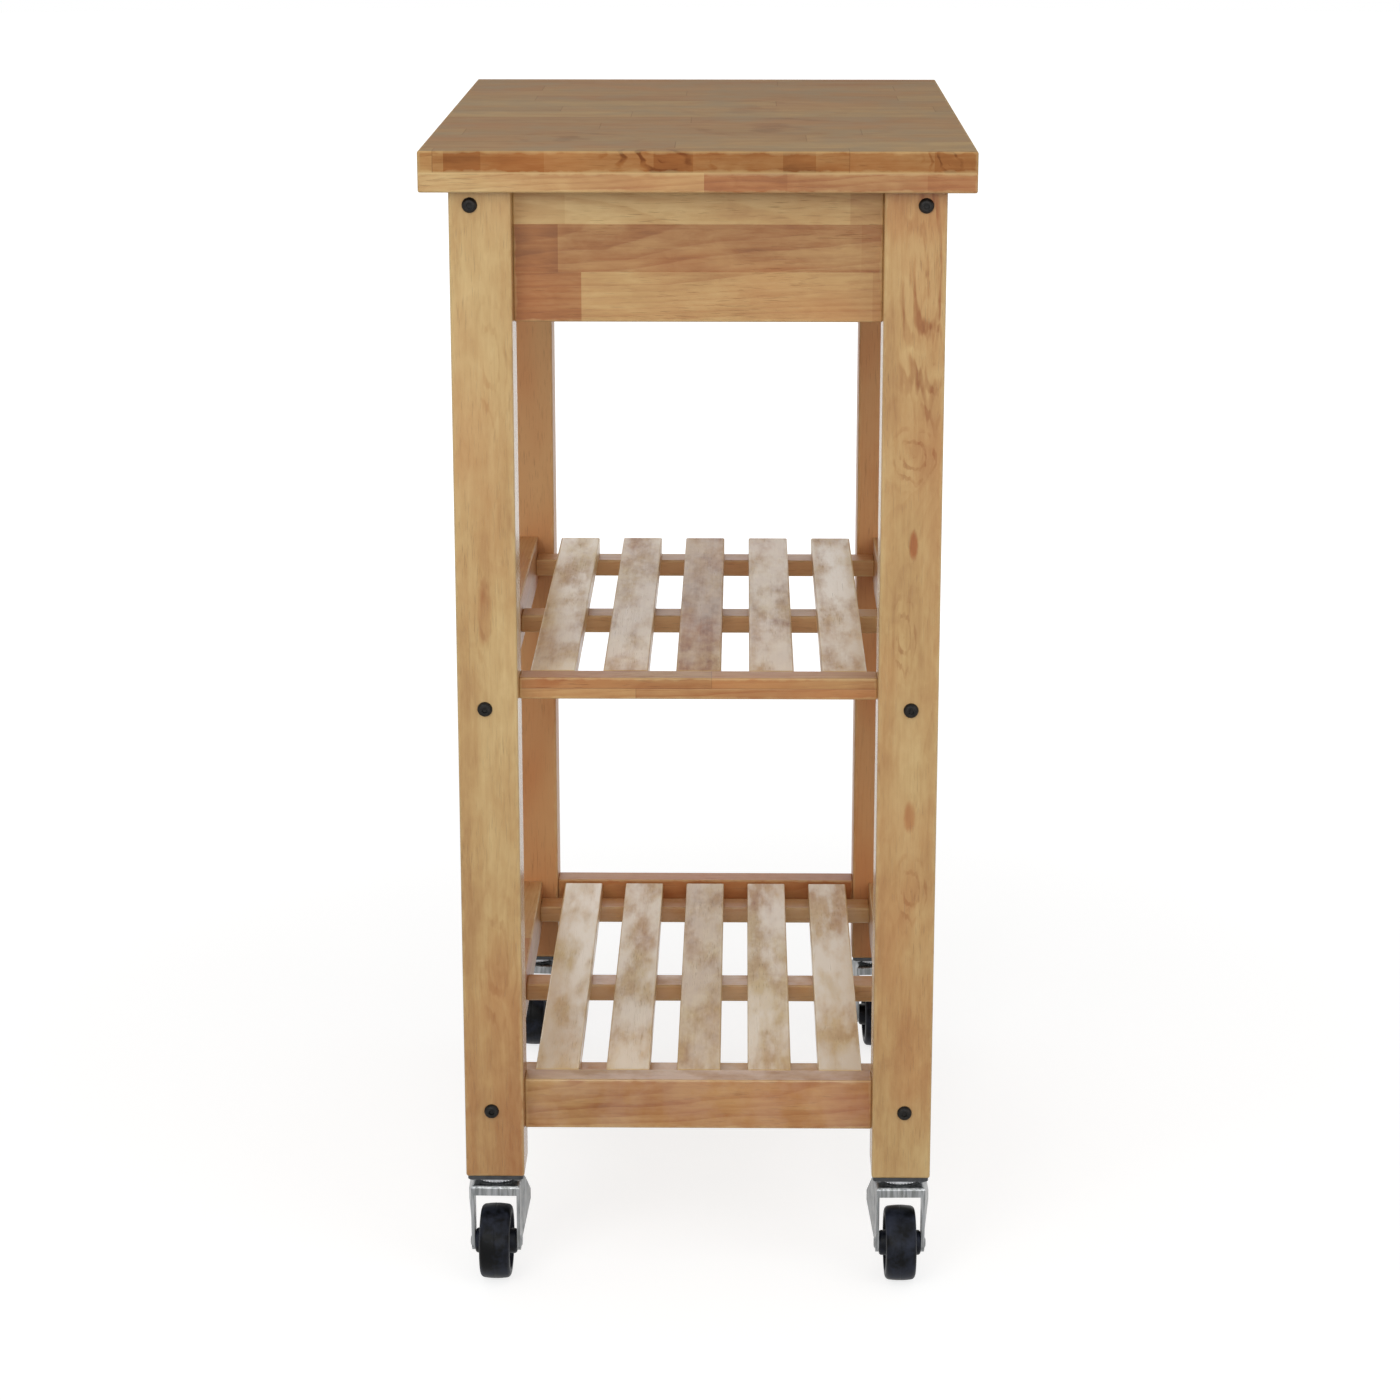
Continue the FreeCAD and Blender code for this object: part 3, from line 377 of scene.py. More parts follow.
def finish_board(
    node_name, grain, tone, seed, staves=None, spread=0.0, heart=(0.02, 0.06, 0.0), lean=(0.01, 0.03, 0.0),
    figure=0.14, tint=0.0, planned=(), knots=(), mottle=1.0, painted_shade_slope=0.0, painted_sheen=0.0, patch=34.0, smudge=0.0,
    specular=0.36, polish=0.0, coat=0.0,
):
    """Gives one board its own piece of wood.

    staves is the width and length of the staves that the board is glued up from, and spread how far their
    tones differ. planned holds (low, high, steps) for staves that run in a band across the pattern's X, with
    steps a list of (share of the length, change of tone). knots holds (place, size, push, red, lines) in the
    board's own directions from its middle. painted_shade_slope is painted shade: the change of tone per metre
    of length below the middle, darker and warmer downwards as if less light reached there. painted_sheen is
    how far the upward face is painted towards a grey sheen, its reflection painted into its colour, in
    patches of
    1 / patch metres. With smudge, the painted sheen is pale and lies between the patches, which are darker.
    """
    look = bpy.context.scene.trolley_wood
    low, high = (Vector(corner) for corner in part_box(node_name))
    middle, half = (low + high) / 2, (high - low) / 2
    material, build, shader = new_material(node_name)
    coordinates = build.node("ShaderNodeTexCoord").outputs
    from_middle = build.vector("SUBTRACT", coordinates["Object"], middle)
    turn = {"Vector": from_middle, "Rotation": TURNS[grain]}
    place = build.node("ShaderNodeMapping", turn, vector_type="POINT").outputs["Vector"]
    values = {"Vector": place, "Seed": seed * 0.73, "Heart": heart, "Lean": lean, "Ring_Width": RING_WIDTH}
    values.update(Figure=figure, Mottle=mottle, Tone=tone, Tint=tint)
    values.update(Pale=look.pale, Golden=look.golden, Brown=look.brown, Dark=look.dark, Red=look.red)

    def add_to_tone(mask, strength, warmth):
        """Adds a mask to the tone and, by its warmth, to the tint."""
        values["Tone"] = build.plus(values["Tone"], build.times(mask, strength))
        if warmth:
            values["Tint"] = build.plus(values["Tint"], build.times(mask, strength * warmth))

    joints = None
    if staves:
        width, length = staves
        glued = build.group(stave_group(), Vector=place, Width=width, Length=length, Seed=float(seed))
        values["Vector"] = glued["Vector"]
        values["Tint"] = build.plus(build.times(glued["Tint"], spread), tint)
        add_to_tone(glued["Tone"], spread, 0)
        joints = glued["Joint"]
    drawn = build.stretch(place, (1, 1, 0.25)) if smudge else place
    drawn = build.vector("ADD", drawn, (seed * 0.37, seed * 0.61, seed * 0.83))
    patches = speckled(build, drawn, 900.0, patch)["Patches"]
    if smudge:
        add_to_tone(patches, smudge, 0)
    x, _, z = build.split(place)
    # Painted shade: the board gets darker and warmer towards its lower end, as if less light reached it
    # there.
    if painted_shade_slope:
        add_to_tone(build.times(build.math("MINIMUM", z, 0.0), painted_shade_slope), 1.0, 1.5)
    grain_half = abs((TURNS[grain].to_matrix() @ half).z)
    for band_low, band_high, steps in planned:
        share = build.spread(z, -grain_half, grain_half)
        level = build.minus(build.stairs(share, [(at, change + 0.5) for at, change in steps]), 0.5)
        inside = build.math("COMPARE", x, (band_low + band_high) / 2, (band_high - band_low) / 2)
        add_to_tone(build.times(level, inside), 1.0, 0.5)
    values["Push"] = 0.0
    for centre, size, push, red, lines in knots:
        knot = build.group(knot_group(), Vector=place, Centre=centre, Size=size)
        values["Push"] = build.plus(values["Push"], build.times(knot["Push"], push))
        add_to_tone(knot["Lines"], lines, 0)
        add_to_tone(knot["Mask"], red, 1.6)
    normal = coordinates["Normal"]
    facing = build.math("ABSOLUTE", build.vector("DOT_PRODUCT", normal, AXES[grain[0]]))
    values["End"] = build.spread(facing, 0.75, 0.95)
    wood = build.group(wood_group(), **values)

    colour = wood["Color"]
    # Painted sheen: upward faces are mixed in patches towards a grey, their reflection painted into their
    # colour. With smudge the mix goes towards a pale colour between the darker patches.
    if painted_sheen:
        upward = build.spread(build.split(normal)[2], 0.8, 0.97)
        between, within, sheen_colour = (1.2, 0.0, look.sheen_pale) if smudge else (0.65, 1.15, look.grey)
        share = build.spread(patches, 0.0, 1.0, painted_sheen * between, painted_sheen * within)
        colour = build.mix(build.times(share, upward), colour, sheen_colour)
    # Pale arrises: partly rubbed wear, partly a painted highlight where they catch the light at a grazing
    # angle.
    wear_and_highlight = build.group(edge_group(), Vector=coordinates["Object"], Middle=middle, Half=half)["Mask"]
    colour = build.mix(build.times(wear_and_highlight, look.edge_wear_and_highlight), colour, look.pale)
    roughness = build.plus(wood["Roughness"], look.roughness - 0.1 - polish)
    if smudge:
        roughness = build.plus(roughness, build.times(patches, 0.12))
    height = wood["Height"]
    if joints is not None:
        colour = build.mix(build.times(joints, look.glue_line), colour, look.dark)
        height = build.minus(height, build.times(joints, 0.8))
    roughness = build.plus(roughness, build.times(values["End"], 0.1))
    relief = bump(build, height, look.relief, 0.7)
    set_shader(build, shader, Base_Color=colour, Roughness=roughness, Normal=relief)
    set_shader(build, shader, Specular_IOR_Level=specular)
    if coat:
        gloss = build.spread(patches, 0.0, 0.8, coat, 0.0)
        set_shader(build, shader, Coat_Weight=gloss, Coat_Roughness=0.32, Coat_IOR=1.7)
    dress(node_name, material)


def zinc_material(name, colour, roughness, dark_above=None):
    """Bright zinc plate over pressed steel: cloudy crystals, drawing marks and a little dulling.

    dark_above is the height over which the piece is coloured near black.
    """
    material, build, shader = new_material(name)
    place = object_place(build)
    fine = speckled(build, place, 1400.0, 140.0)
    drawn = build.spread(fine["Scratches"], 0.4, 0.62)
    tint = build.mix(build.times(fine["Patches"], 0.5), colour, shade(112, 115, 120))
    tint = build.mix(build.times(drawn, 0.4), tint, shade(196, 198, 201))
    # Above the given height the colour goes near black.
    if dark_above is not None:
        above = build.math("GREATER_THAN", build.split(place)[2], dark_above)
        tint = build.mix(build.times(above, 0.9), tint, shade(30, 31, 33))
    level = build.plus(build.times(fine["Patches"], 0.14), build.times(fine["Fine"], 0.08))
    level = build.plus(level, roughness - 0.06)
    height = build.plus(fine["Fine"], build.times(fine["Scratches"], 0.7))
    relief = bump(build, height, 0.00003, 0.5)
    set_shader(build, shader, Base_Color=tint, Roughness=level, Metallic=1.0, Normal=relief)
    return material


def black_steel_material():
    """Blackened steel of the frame bolts, rubbed to a dark grey on its high spots."""
    look = bpy.context.scene.trolley_metal
    material, build, shader = new_material("black_steel")
    fine = speckled(build, object_place(build), 2200.0, 320.0)
    colour = build.mix(fine["Patches"], look.black, shade(40, 36, 33))
    level = build.spread(fine["Fine"], 0.3, 0.7, 0.34, 0.5)
    relief = bump(build, fine["Fine"], 0.00002, 0.6)
    set_shader(build, shader, Base_Color=colour, Roughness=level, Specular_IOR_Level=0.2, Normal=relief)
    return material


def plastic_material(name, colour, dust_and_sheen):
    """Moulded black plastic with a fine grain, and blue-grey patches that are partly dust and partly a
    painted sheen on the tread.
    """
    material, build, shader = new_material(name)
    fine = speckled(build, object_place(build), 1800.0, 60.0)
    # Blue-grey patches: partly dust, partly a painted highlight such as a lamp leaves on the tread.
    dust_and_sheen_colour = build.mix(build.times(fine["Patches"], dust_and_sheen), colour, shade(72, 78, 96))
    level = build.spread(fine["Patches"], 0.0, 1.0, 0.36, 0.56)
    relief = bump(build, fine["Fine"], 0.00004, 0.45)
    set_shader(build, shader, Base_Color=dust_and_sheen_colour, Roughness=level, Specular_IOR_Level=0.12, Normal=relief)
    return material


# Small parts


def lathe(mesh, profile, steps):
    """Turns a profile of (place along Z, radius) about Z, and gives the rings of vertices that it makes."""
    rings = []
    for along, radius in profile:
        if radius == 0:
            rings.append([mesh.verts.new((0, 0, along))] * steps)
            continue
        angles = [2 * math.pi * step / steps for step in range(steps)]
        rings.append([mesh.verts.new((radius * math.cos(a), radius * math.sin(a), along)) for a in angles])
    for here, there in zip(rings, rings[1:]):
        for step in range(steps):
            after = (step + 1) % steps
            corners = dict.fromkeys((here[step], here[after], there[after], there[step]))
            mesh.faces.new(list(corners))
    return rings


def new_piece(name, mesh, material=None, crease=35):
    """An object at the origin from mesh data, with its faces turned outwards and smooth where it is round."""
    bmesh.ops.recalc_face_normals(mesh, faces=mesh.faces)
    for face in mesh.faces:
        face.smooth = True
    for edge in mesh.edges:
        edge.smooth = len(edge.link_faces) == 2 and edge.calc_face_angle() < math.radians(crease)
    data = bpy.data.meshes.new(name)
    mesh.to_mesh(data)
    mesh.free()
    if material:
        data.materials.append(material)
    piece = bpy.data.objects.new(name, data)
    bpy.context.scene.collection.objects.link(piece)
    return piece


def dome(flat, edge, height, steps=8, lip=0.15):
    """The outline of a domed head from the rim of its flat top to its edge, as (place along Z, radius)."""
    last = math.radians(80)
    spots = []
    for step in range(steps + 1):
        angle = last * step / steps
        fall = (1 - math.cos(angle)) / (1 - math.cos(last))
        reach = flat + (edge - flat) * math.sin(angle) / math.sin(last)
        spots.append((-height * (1 - fall * (1 - lip)), reach))
    return spots


def recess(mesh, rim, reach_of, top, bottom, point):
    """A socket in the flat top of a head. reach_of gives its distance from the middle at each angle."""
    count = len(rim)
    directions = [Vector((vert.co.x, vert.co.y, 0)).normalized() for vert in rim]
    mouth, floor = [], []
    for step, way in enumerate(directions):
        reach = way * reach_of(360 * step / count)
        mouth.append(mesh.verts.new(reach + Vector((0, 0, top))))
        floor.append(mesh.verts.new(reach * 0.94 + Vector((0, 0, bottom))))
    middle = mesh.verts.new((0, 0, point))
    for step in range(count):
        after = (step + 1) % count
        mesh.faces.new((rim[step], rim[after], mouth[after], mouth[step]))
        mesh.faces.new((mouth[step], mouth[after], floor[after], floor[step]))
        mesh.faces.new((floor[step], floor[after], middle))


def threaded(start, end, radius, pitch, depth):
    """The outline of a threaded shank with its rounded tip."""
    spots = [(0.0, radius), (start, radius)]
    place = start
    while place + pitch < end - pitch:
        spots += [(place + pitch / 2, radius - depth), (place + pitch, radius)]
        place += pitch
    return spots + [(end - radius * 0.2, radius - depth), (end, radius * 0.6), (end, 0)]


def bolt_source(look):
    """A bolt along +Z under a low domed head with a hexagon socket, its seat at the origin."""
    mesh = bmesh.new()
    half, apothem, height = look.bolt_head / 2, look.bolt_socket / 2, look.bolt_head_height
    profile = dome(apothem * 1.45, half, height) + [(-height * 0.05, half), (0.0, half * 0.95)]
    profile += threaded(0.03, look.bolt_length, look.bolt_shank / 2, 0.001, 0.0005)
    rings = lathe(mesh, profile, 36)
    bottom = -height + height * 0.6

    def hexagon(degrees):
        return apothem / math.cos(math.radians(degrees % 60 - 30))

    recess(mesh, rings[0], hexagon, -height, bottom, bottom + 0.0003)
    return new_piece("bolt_source", mesh)


def screw_source(look, length):
    """A pan-headed wood screw along +Z with a cross recess, its seat at the origin."""
    mesh = bmesh.new()
    half, height = look.screw_head / 2, look.screw_head_height
    profile = dome(half * 0.72, half, height, steps=5, lip=0.25) + [(0.0, half * 0.97)]
    profile += threaded(length * 0.35, length, look.screw_shank / 2, 0.0016, 0.0004)
    rings = lathe(mesh, profile, 32)

    def cross(degrees):
        within = degrees % 90
        return half * (0.56 if min(within, 90 - within) < 12 else 0.2)

    recess(mesh, rings[0], cross, -height, -height + height * 0.6, -height + height * 0.8)
    return new_piece("screw_source", mesh)


def new_geometry_tree(name, inputs):
    geometry = {"Geometry": ["Geometry"]}
    inputs = geometry | inputs | {"Material": ["Material"]}
    return new_group(name, inputs, geometry, "GeometryNodeTree")


def end_tree(build, geometry, given, out):
    whole = build.node("GeometryNodeRealizeInstances", {"Geometry": geometry}).outputs[0]
    values = {"Geometry": whole, "Material": given["Material"]}
    build.feed(out["Geometry"], build.node("GeometryNodeSetMaterial", values).outputs[0])
    return build.tree


@cache
def fastener_tree():
    """Sets one bolt or screw on every point, along the point's aim and turned by chance about its length."""
    inputs = {"Object": ["Fastener"], "Float": ["Twist"], "Int": ["Seed"]}
    build, given, out = new_geometry_tree("Fasteners", inputs)
    source = build.node("GeometryNodeObjectInfo", {"Object": given["Fastener"]}).outputs["Geometry"]
    named = build.node("GeometryNodeInputNamedAttribute", {"Name": "aim"}, data_type="FLOAT_VECTOR")
    aim = named.outputs["Attribute"]
    aligned = build.node("FunctionNodeAlignRotationToVector", {"Vector": aim}, axis="Z").outputs[0]
    chance = build.node("FunctionNodeRandomValue", data_type="FLOAT")
    values = {"Min": 0.0, "Max": given["Twist"], "Seed": given["Seed"]}
    for socket in chance.inputs:
        if socket.enabled and socket.name in values:
            build.feed(socket, values[socket.name])
    angle = next(socket for socket in chance.outputs if socket.enabled)
    twist = build.node("FunctionNodeAxisAngleToRotation", {"Axis": (0, 0, 1), "Angle": angle}).outputs[0]
    values = {"Rotation": aligned, "Rotate By": twist}
    turned = build.node("FunctionNodeRotateRotation", values, rotation_space="LOCAL").outputs[0]
    values = {"Points": given["Geometry"], "Instance": source, "Rotation": turned}
    placed = build.node("GeometryNodeInstanceOnPoints", values).outputs["Instances"]
    return end_tree(build, placed, given, out)


@cache
def ball_tree():
    """A ring of bearing balls about an upright axis."""
    inputs = {"Int": ["Count"], "Float": ["Ring Radius", "Ball Radius"], "Vector": ["Middle"]}
    build, given, out = new_geometry_tree("Ball ring", inputs)
    values = {"Vertices": given["Count"], "Radius": given["Ring Radius"]}
    ring = build.node("GeometryNodeMeshCircle", values).outputs[0]
    values = {"Radius": given["Ball Radius"], "Subdivisions": 3}
    ball = build.node("GeometryNodeMeshIcoSphere", values).outputs["Mesh"]
    smooth = build.node("GeometryNodeSetShadeSmooth", {"Geometry": ball}).outputs[0]
    values = {"Points": ring, "Instance": smooth}
    placed = build.node("GeometryNodeInstanceOnPoints", values).outputs["Instances"]
    values = {"Geometry": placed, "Translation": given["Middle"]}
    moved = build.node("GeometryNodeTransform", values).outputs[0]
    return end_tree(build, moved, given, out)


def grow(name, tree, values, points=()):
    """Runs a geometry tree over points, each a place and an aim, and gives its result as a plain object."""
    data = bpy.data.meshes.new(name)
    data.from_pydata([place for place, _ in points], [], [])
    if points:
        aims = data.attributes.new("aim", "FLOAT_VECTOR", "POINT")
        for item, (_, aim) in zip(aims.data, points):
            item.vector = aim
    piece = bpy.data.objects.new(name, data)
    bpy.context.scene.collection.objects.link(piece)
    modifier = piece.modifiers.new("Grow", "NODES")
    modifier.node_group = tree
    sockets = {item.name: item.identifier for item in tree.interface.items_tree if item.in_out == "INPUT"}
    for socket_name, value in values.items():
        modifier[sockets[socket_name]] = value
    evaluated = piece.evaluated_get(bpy.context.evaluated_depsgraph_get())
    grown = bpy.data.meshes.new_from_object(evaluated)
    piece.modifiers.remove(modifier)
    piece.data = grown
    grown.name = name
    bpy.data.meshes.remove(data)
    if not grown.polygons:
        raise RuntimeError(f"{name} came out empty")
    return piece


def discard(source):
    data = source.data
    bpy.data.objects.remove(source)
    bpy.data.meshes.remove(data)


def islands(node_name):
    """The boxes of the separate solids of a node, as pairs of corners."""
    mesh = bmesh.new()
    mesh.from_mesh(frame["nodes"][node_name].data)
    bmesh.ops.remove_doubles(mesh, verts=mesh.verts, dist=1e-6)
    boxes, seen = [], set()
    for start in mesh.verts:
        if start in seen:
            continue
        group, queue = [], [start]
        seen.add(start)
        while queue:
            vert = queue.pop()
            group.append(vert.co.copy())
            for edge in vert.link_edges:
                other = edge.other_vert(vert)
                if other not in seen:
                    seen.add(other)
                    queue.append(other)
        low = Vector([min(spot[k] for spot in group) for k in range(3)])
        high = Vector([max(spot[k] for spot in group) for k in range(3)])
        boxes.append((low, high))
    mesh.free()
    return sorted(boxes, key=lambda box: tuple(round(part, 4) for part in box[0]))


def seats(node_name, head_height, inwards=False):
    """The place and aim of each bolt or screw of a node, and the length below its head.

    Those that lie flat aim away from the trolley's middle, or towards it with inwards. The others aim up.
    """
    points = []
    for low, high in islands(node_name):
        size, seat = high - low, (low + high) / 2
        long = max(range(3), key=lambda axis: size[axis])
        aim = Vector((0, 0, 0))
        aim[long] = 1.0 if long == 2 or (seat[long] > 0) != inwards else -1.0
        seat[long] = (low if aim[long] > 0 else high)[long] + aim[long] * head_height
        points.append((seat, aim))
    return points, size[long] - head_height


def joint_of(name):
    return next(joint for joint in frame["joints"] if joint["name"] == name)


# Sizes and colours that can be changed


def colour_setting(name, description, *default):
    return bpy.props.FloatVectorProperty(
        name=name, description=description, subtype="COLOR", size=4, min=0, max=1, default=shade(*default)
    )


def number_setting(name, description, default, least=0.0, **more):
    return bpy.props.FloatProperty(name=name, description=description, default=default, min=least, **more)


def length_setting(*values):
    return number_setting(*values, unit="LENGTH")


def share_setting(*values):
    return number_setting(*values, max=1, subtype="FACTOR")


def power_setting(*values):
    return number_setting(*values, subtype="POWER")


class TrolleyWood(bpy.types.PropertyGroup):
    pale: colour_setting("Pale", "Sapwood between the rings", 224, 196, 140)
    golden: colour_setting("Golden", "Middle tone of the wood", 199, 160, 106)
    brown: colour_setting("Brown", "Late wood and dark staves", 160, 108, 64)
    dark: colour_setting("Dark", "Pores, glue lines and streaks", 104, 64, 38)
    red: colour_setting("Red", "Reddish clouds and knots", 194, 112, 58)
    # Grey and the pale colour below it are painted sheen: the reflection on upward faces, painted into their
    # colour.
    grey: colour_setting("Grey", "Wood that use has greyed", 163, 141, 111)
    sheen_pale: colour_setting("Bleached", "Slats that use has bleached", 222, 199, 164)
    roughness: share_setting("Roughness", "How matt the lacquer is", 0.42)
    relief: length_setting("Relief", "Depth of fibres and pores", 0.00022)
    # Pales the arrises: partly rubbed wear, partly a painted highlight.
    edge_wear_and_highlight: share_setting("Edge wear", "How pale the arrises are rubbed", 0.5)
    glue_line: share_setting("Glue line", "How dark the joints between staves are", 0.3)


class TrolleyMetal(bpy.types.PropertyGroup):
    zinc: colour_setting("Zinc", "Plated steel of the casters and fittings", 116, 118, 117)
    black: colour_setting("Black", "Blackened steel of the frame bolts", 15, 14, 13)
    bolt_head: length_setting("Bolt head", "Diameter of a frame bolt's head", 0.011, 0.006)
    bolt_head_height: length_setting("Bolt head height", "Height of the domed head", 0.0034, 0.001)
    bolt_socket: length_setting("Bolt socket", "Hexagon across its flats", 0.004, 0.002)
    bolt_shank: length_setting("Bolt shank", "Diameter of the shank", 0.006, 0.003)
    bolt_length: length_setting("Bolt length", "From the seat to the tip", 0.064, 0.02)
    screw_head: length_setting("Screw head", "Diameter of a wood screw's head", 0.007, 0.004)
    screw_head_height: length_setting("Screw head height", "Height of the pan head", 0.002, 0.001)
    screw_shank: length_setting("Screw shank", "Diameter over the thread", 0.0035, 0.002)
    plate: length_setting("Plate", "Thickness of a caster's mounting plate", 0.003, 0.001)
    ball_count: bpy.props.IntProperty(
        name="Balls", description="Balls in a caster's ring", default=40, min=8, max=80
    )
    ball_radius: length_setting("Ball radius", "Radius of a bearing ball", 0.00095, 0.0005)
    ball_ring: length_setting("Ball ring", "Radius of the ring of balls", 0.0157, 0.01)


class TrolleyWheel(bpy.types.PropertyGroup):
    plastic: colour_setting("Plastic", "Colour of the wheels", 8, 9, 11)
    radius: length_setting("Radius", "Radius of a wheel", 0.0285, 0.01)
    half_width: length_setting("Half width", "Half the width of the tread", 0.0115, 0.004)
    half_hub: length_setting("Half hub", "Half the length of the hub", 0.0157, 0.004)
    shoulder: length_setting("Shoulder", "Radius of the tread's shoulders", 0.0035, 0.0005)
    crown: length_setting("Crown", "How far the tread falls away to its shoulders", 0.0006)
    hub: length_setting("Hub", "Radius of the hub", 0.0095, 0.004)
    bore: length_setting("Bore", "Radius of the hole for the axle", 0.00305, 0.001)
    # Dust and painted sheen: how strongly the blue-grey patches show on the wheels.
    dust_and_sheen: share_setting("Dust", "How grey the dusty patches are", 0.4)


class TrolleyStage(bpy.types.PropertyGroup):
    floor: colour_setting("Floor", "Colour of the floor", 172, 172, 171)
    floor_glow: share_setting("Floor glow", "White that the camera sees on the floor by itself", 0.76)
    sky: number_setting("Sky", "Level of the light from all round", 0.42)
    key: power_setting("Key", "Main lamp", 15.0)
    front: power_setting("Front", "Broad lamp behind the camera", 46.0)
    fill: power_setting("Fill", "Lamp opposite the main one", 11.0)
    top: power_setting("Top", "Lamp overhead", 3.6)
    back: power_setting("Back", "Lamp behind", 6.0)
    lens: number_setting("Lens", "Focal length on a 36 mm frame", 89.22, 20)
    camera_place: bpy.props.FloatVectorProperty(
        name="Camera", description="Place of the camera", size=3, default=(0.0322, -2.7067, 1.1142),
        subtype="TRANSLATION", unit="LENGTH",
    )
    camera_turn: bpy.props.FloatVectorProperty(
        name="Turn", description="Turn of the camera", size=3, subtype="EULER", unit="ROTATION",
        default=(math.radians(74.905), 0.0, math.radians(0.72)),
    )


# Size, place and aim of each lamp, whose power is a setting of the stage
LAMPS = {
    "key": (1.2, (-1.1, -2.3, 1.75), (0, 0, 0.65)),
    "front": (1.6, (0.1, -5.0, 1.75), (0, 0, 0.45)),
    "fill": (1.8, (2.2, -2.0, 1.5), (0, 0, 0.45)),
    "top": (1.4, (0.15, -1.3, 2.3), (0, -0.3, 0.8)),
    "back": (1.8, (-0.6, 3.4, 1.9), (0, 0, 0.6)),
}


SETTINGS = {
    "trolley_wood": TrolleyWood,
    "trolley_metal": TrolleyMetal,
    "trolley_wheel": TrolleyWheel,
    "trolley_stage": TrolleyStage,
}


# Operators


class TROLLEY_OT_top(bpy.types.Operator):
    """Gives the glued-up top and the strips under its rim their wood"""

    bl_idname = "trolley.top"
    bl_label = "Finish the top"

    def execute(self, context):
        upper = [(0.0, 0.1), (0.045, 0.32), (0.11, 0.2), (0.225, 0.12), (0.42, 0.3)]
        upper += [(0.49, 0.2), (0.65, 0.34), (0.71, 0.22), (0.92, 0.32)]
        swirls = [
            ((-0.12, 0.015, 0.06), (0.05, 0.02, 0.05), 0.5, 0.0, 0.3),
            ((0.02, 0.015, 0.04), (0.05, 0.02, 0.045), 0.4, 0.0, 0.24),
            ((-0.2, 0.015, -0.09), (0.03, 0.02, 0.03), 0.4, 0.0, 0.3),
            ((0.34, 0.015, 0.0), (0.3, 0.1, 0.6), 0.0, 0.1, 0.0),
            ((-0.285, 0.0, -0.025), (0.02, 0.016, 0.022), 0.3, 0.05, 0.4),
            ((-0.285, -0.002, 0.175), (0.02, 0.012, 0.01), 0.3, 0.02, 0.2),
        ]
        # The top's upward face has painted sheen: grey patches stand for its reflection, which its low
        # specular leaves out.
        finish_board(
            "top_board", "x", 0.44, 11, staves=(0.044, 0.29), spread=0.26, tint=0.02, figure=0.05,
            specular=0.05, mottle=0.7, painted_sheen=0.74, patch=20.0, polish=-0.3,
            planned=[(-0.2851, -0.2829, upper)], knots=swirls,
        )
        lower = [(0.0, 0.06), (0.51, 0.4), (0.66, 0.32), (0.91, 0.42)]
        finish_board("top_strip_near", "x", 0.28, 12, tint=0.03, planned=[(-0.1, 0.1, lower)])
        finish_board("top_strip_far", "x", 0.3, 13, staves=(0.044, 0.22), spread=0.45, tint=0.05)
        for side in SIDES:
            name = f"top_strip_{side}"
            finish_board(name, "y", 0.3, 14 + len(side), staves=(0.04, 0.21), spread=0.45, tint=0.05)
        return {"FINISHED"}


class TROLLEY_OT_legs(bpy.types.Operator):
    """Gives each of the four square legs its own piece of wood, with the knots that it has"""

    bl_idname = "trolley.legs"
    bl_label = "Finish the legs"

    def execute(self, context):
        knots = [
            ((0.0, -0.022, 0.37), (0.04, 0.03, 0.04), 0.0, 0.15, 0.0),
            ((0.008, -0.022, 0.315), (0.013, 0.02, 0.07), 0.6, 0.02, 0.4),
            ((0.0, -0.022, 0.3), (0.012, 0.02, 0.06), 0.5, 0.02, 0.2),
            ((0.014, -0.022, 0.25), (0.009, 0.02, 0.034), 0.3, 0.05, 0.24),
            ((0.001, -0.022, 0.182), (0.011, 0.012, 0.014), 0.5, 0.0, 0.26),
            ((0.002, -0.022, 0.118), (0.0036, 0.008, 0.012), 0.25, 0.42, 0.0),
            ((-0.004, -0.022, 0.05), (0.006, 0.012, 0.02), 0.2, 0.0, 0.22),
            ((0.002, -0.022, -0.086), (0.0048, 0.01, 0.013), 0.3, 0.24, 0.0),
            ((0.004, -0.022, -0.143), (0.008, 0.014, 0.018), 0.3, 0.06, 0.2),
        ]
        finish_board(
            "leg_near_right", "z", 0.3, 21, tint=-0.1, polish=0.18, figure=0.05, heart=(0.035, 0.055, 0),
            lean=(0.02, 0.03, 0), knots=knots,
        )
        knots = [
            ((-0.001, -0.022, 0.066), (0.006, 0.012, 0.03), 0.3, 0.16, 0.1),
            ((0.004, -0.022, -0.2), (0.01, 0.02, 0.04), 0.3, 0.06, 0.16),
            ((0.006, -0.022, 0.25), (0.008, 0.02, 0.03), 0.2, 0.0, 0.14),
        ]
        # The near left leg has painted shade: darker and warmer towards its foot.
        finish_board(
            "leg_near_left", "z", 0.25, 22, painted_shade_slope=-0.6, tint=-0.18, polish=0.18, figure=0.05,
            heart=(-0.03, 0.07, 0), lean=(0.015, 0.02, 0), knots=knots,
        )
        finish_board("leg_far_left", "z", -0.1, 23, tint=0.8, heart=(0.05, -0.04, 0))
        finish_board("leg_far_right", "z", -0.05, 24, tint=1.0, heart=(-0.05, -0.04, 0))
        return {"FINISHED"}


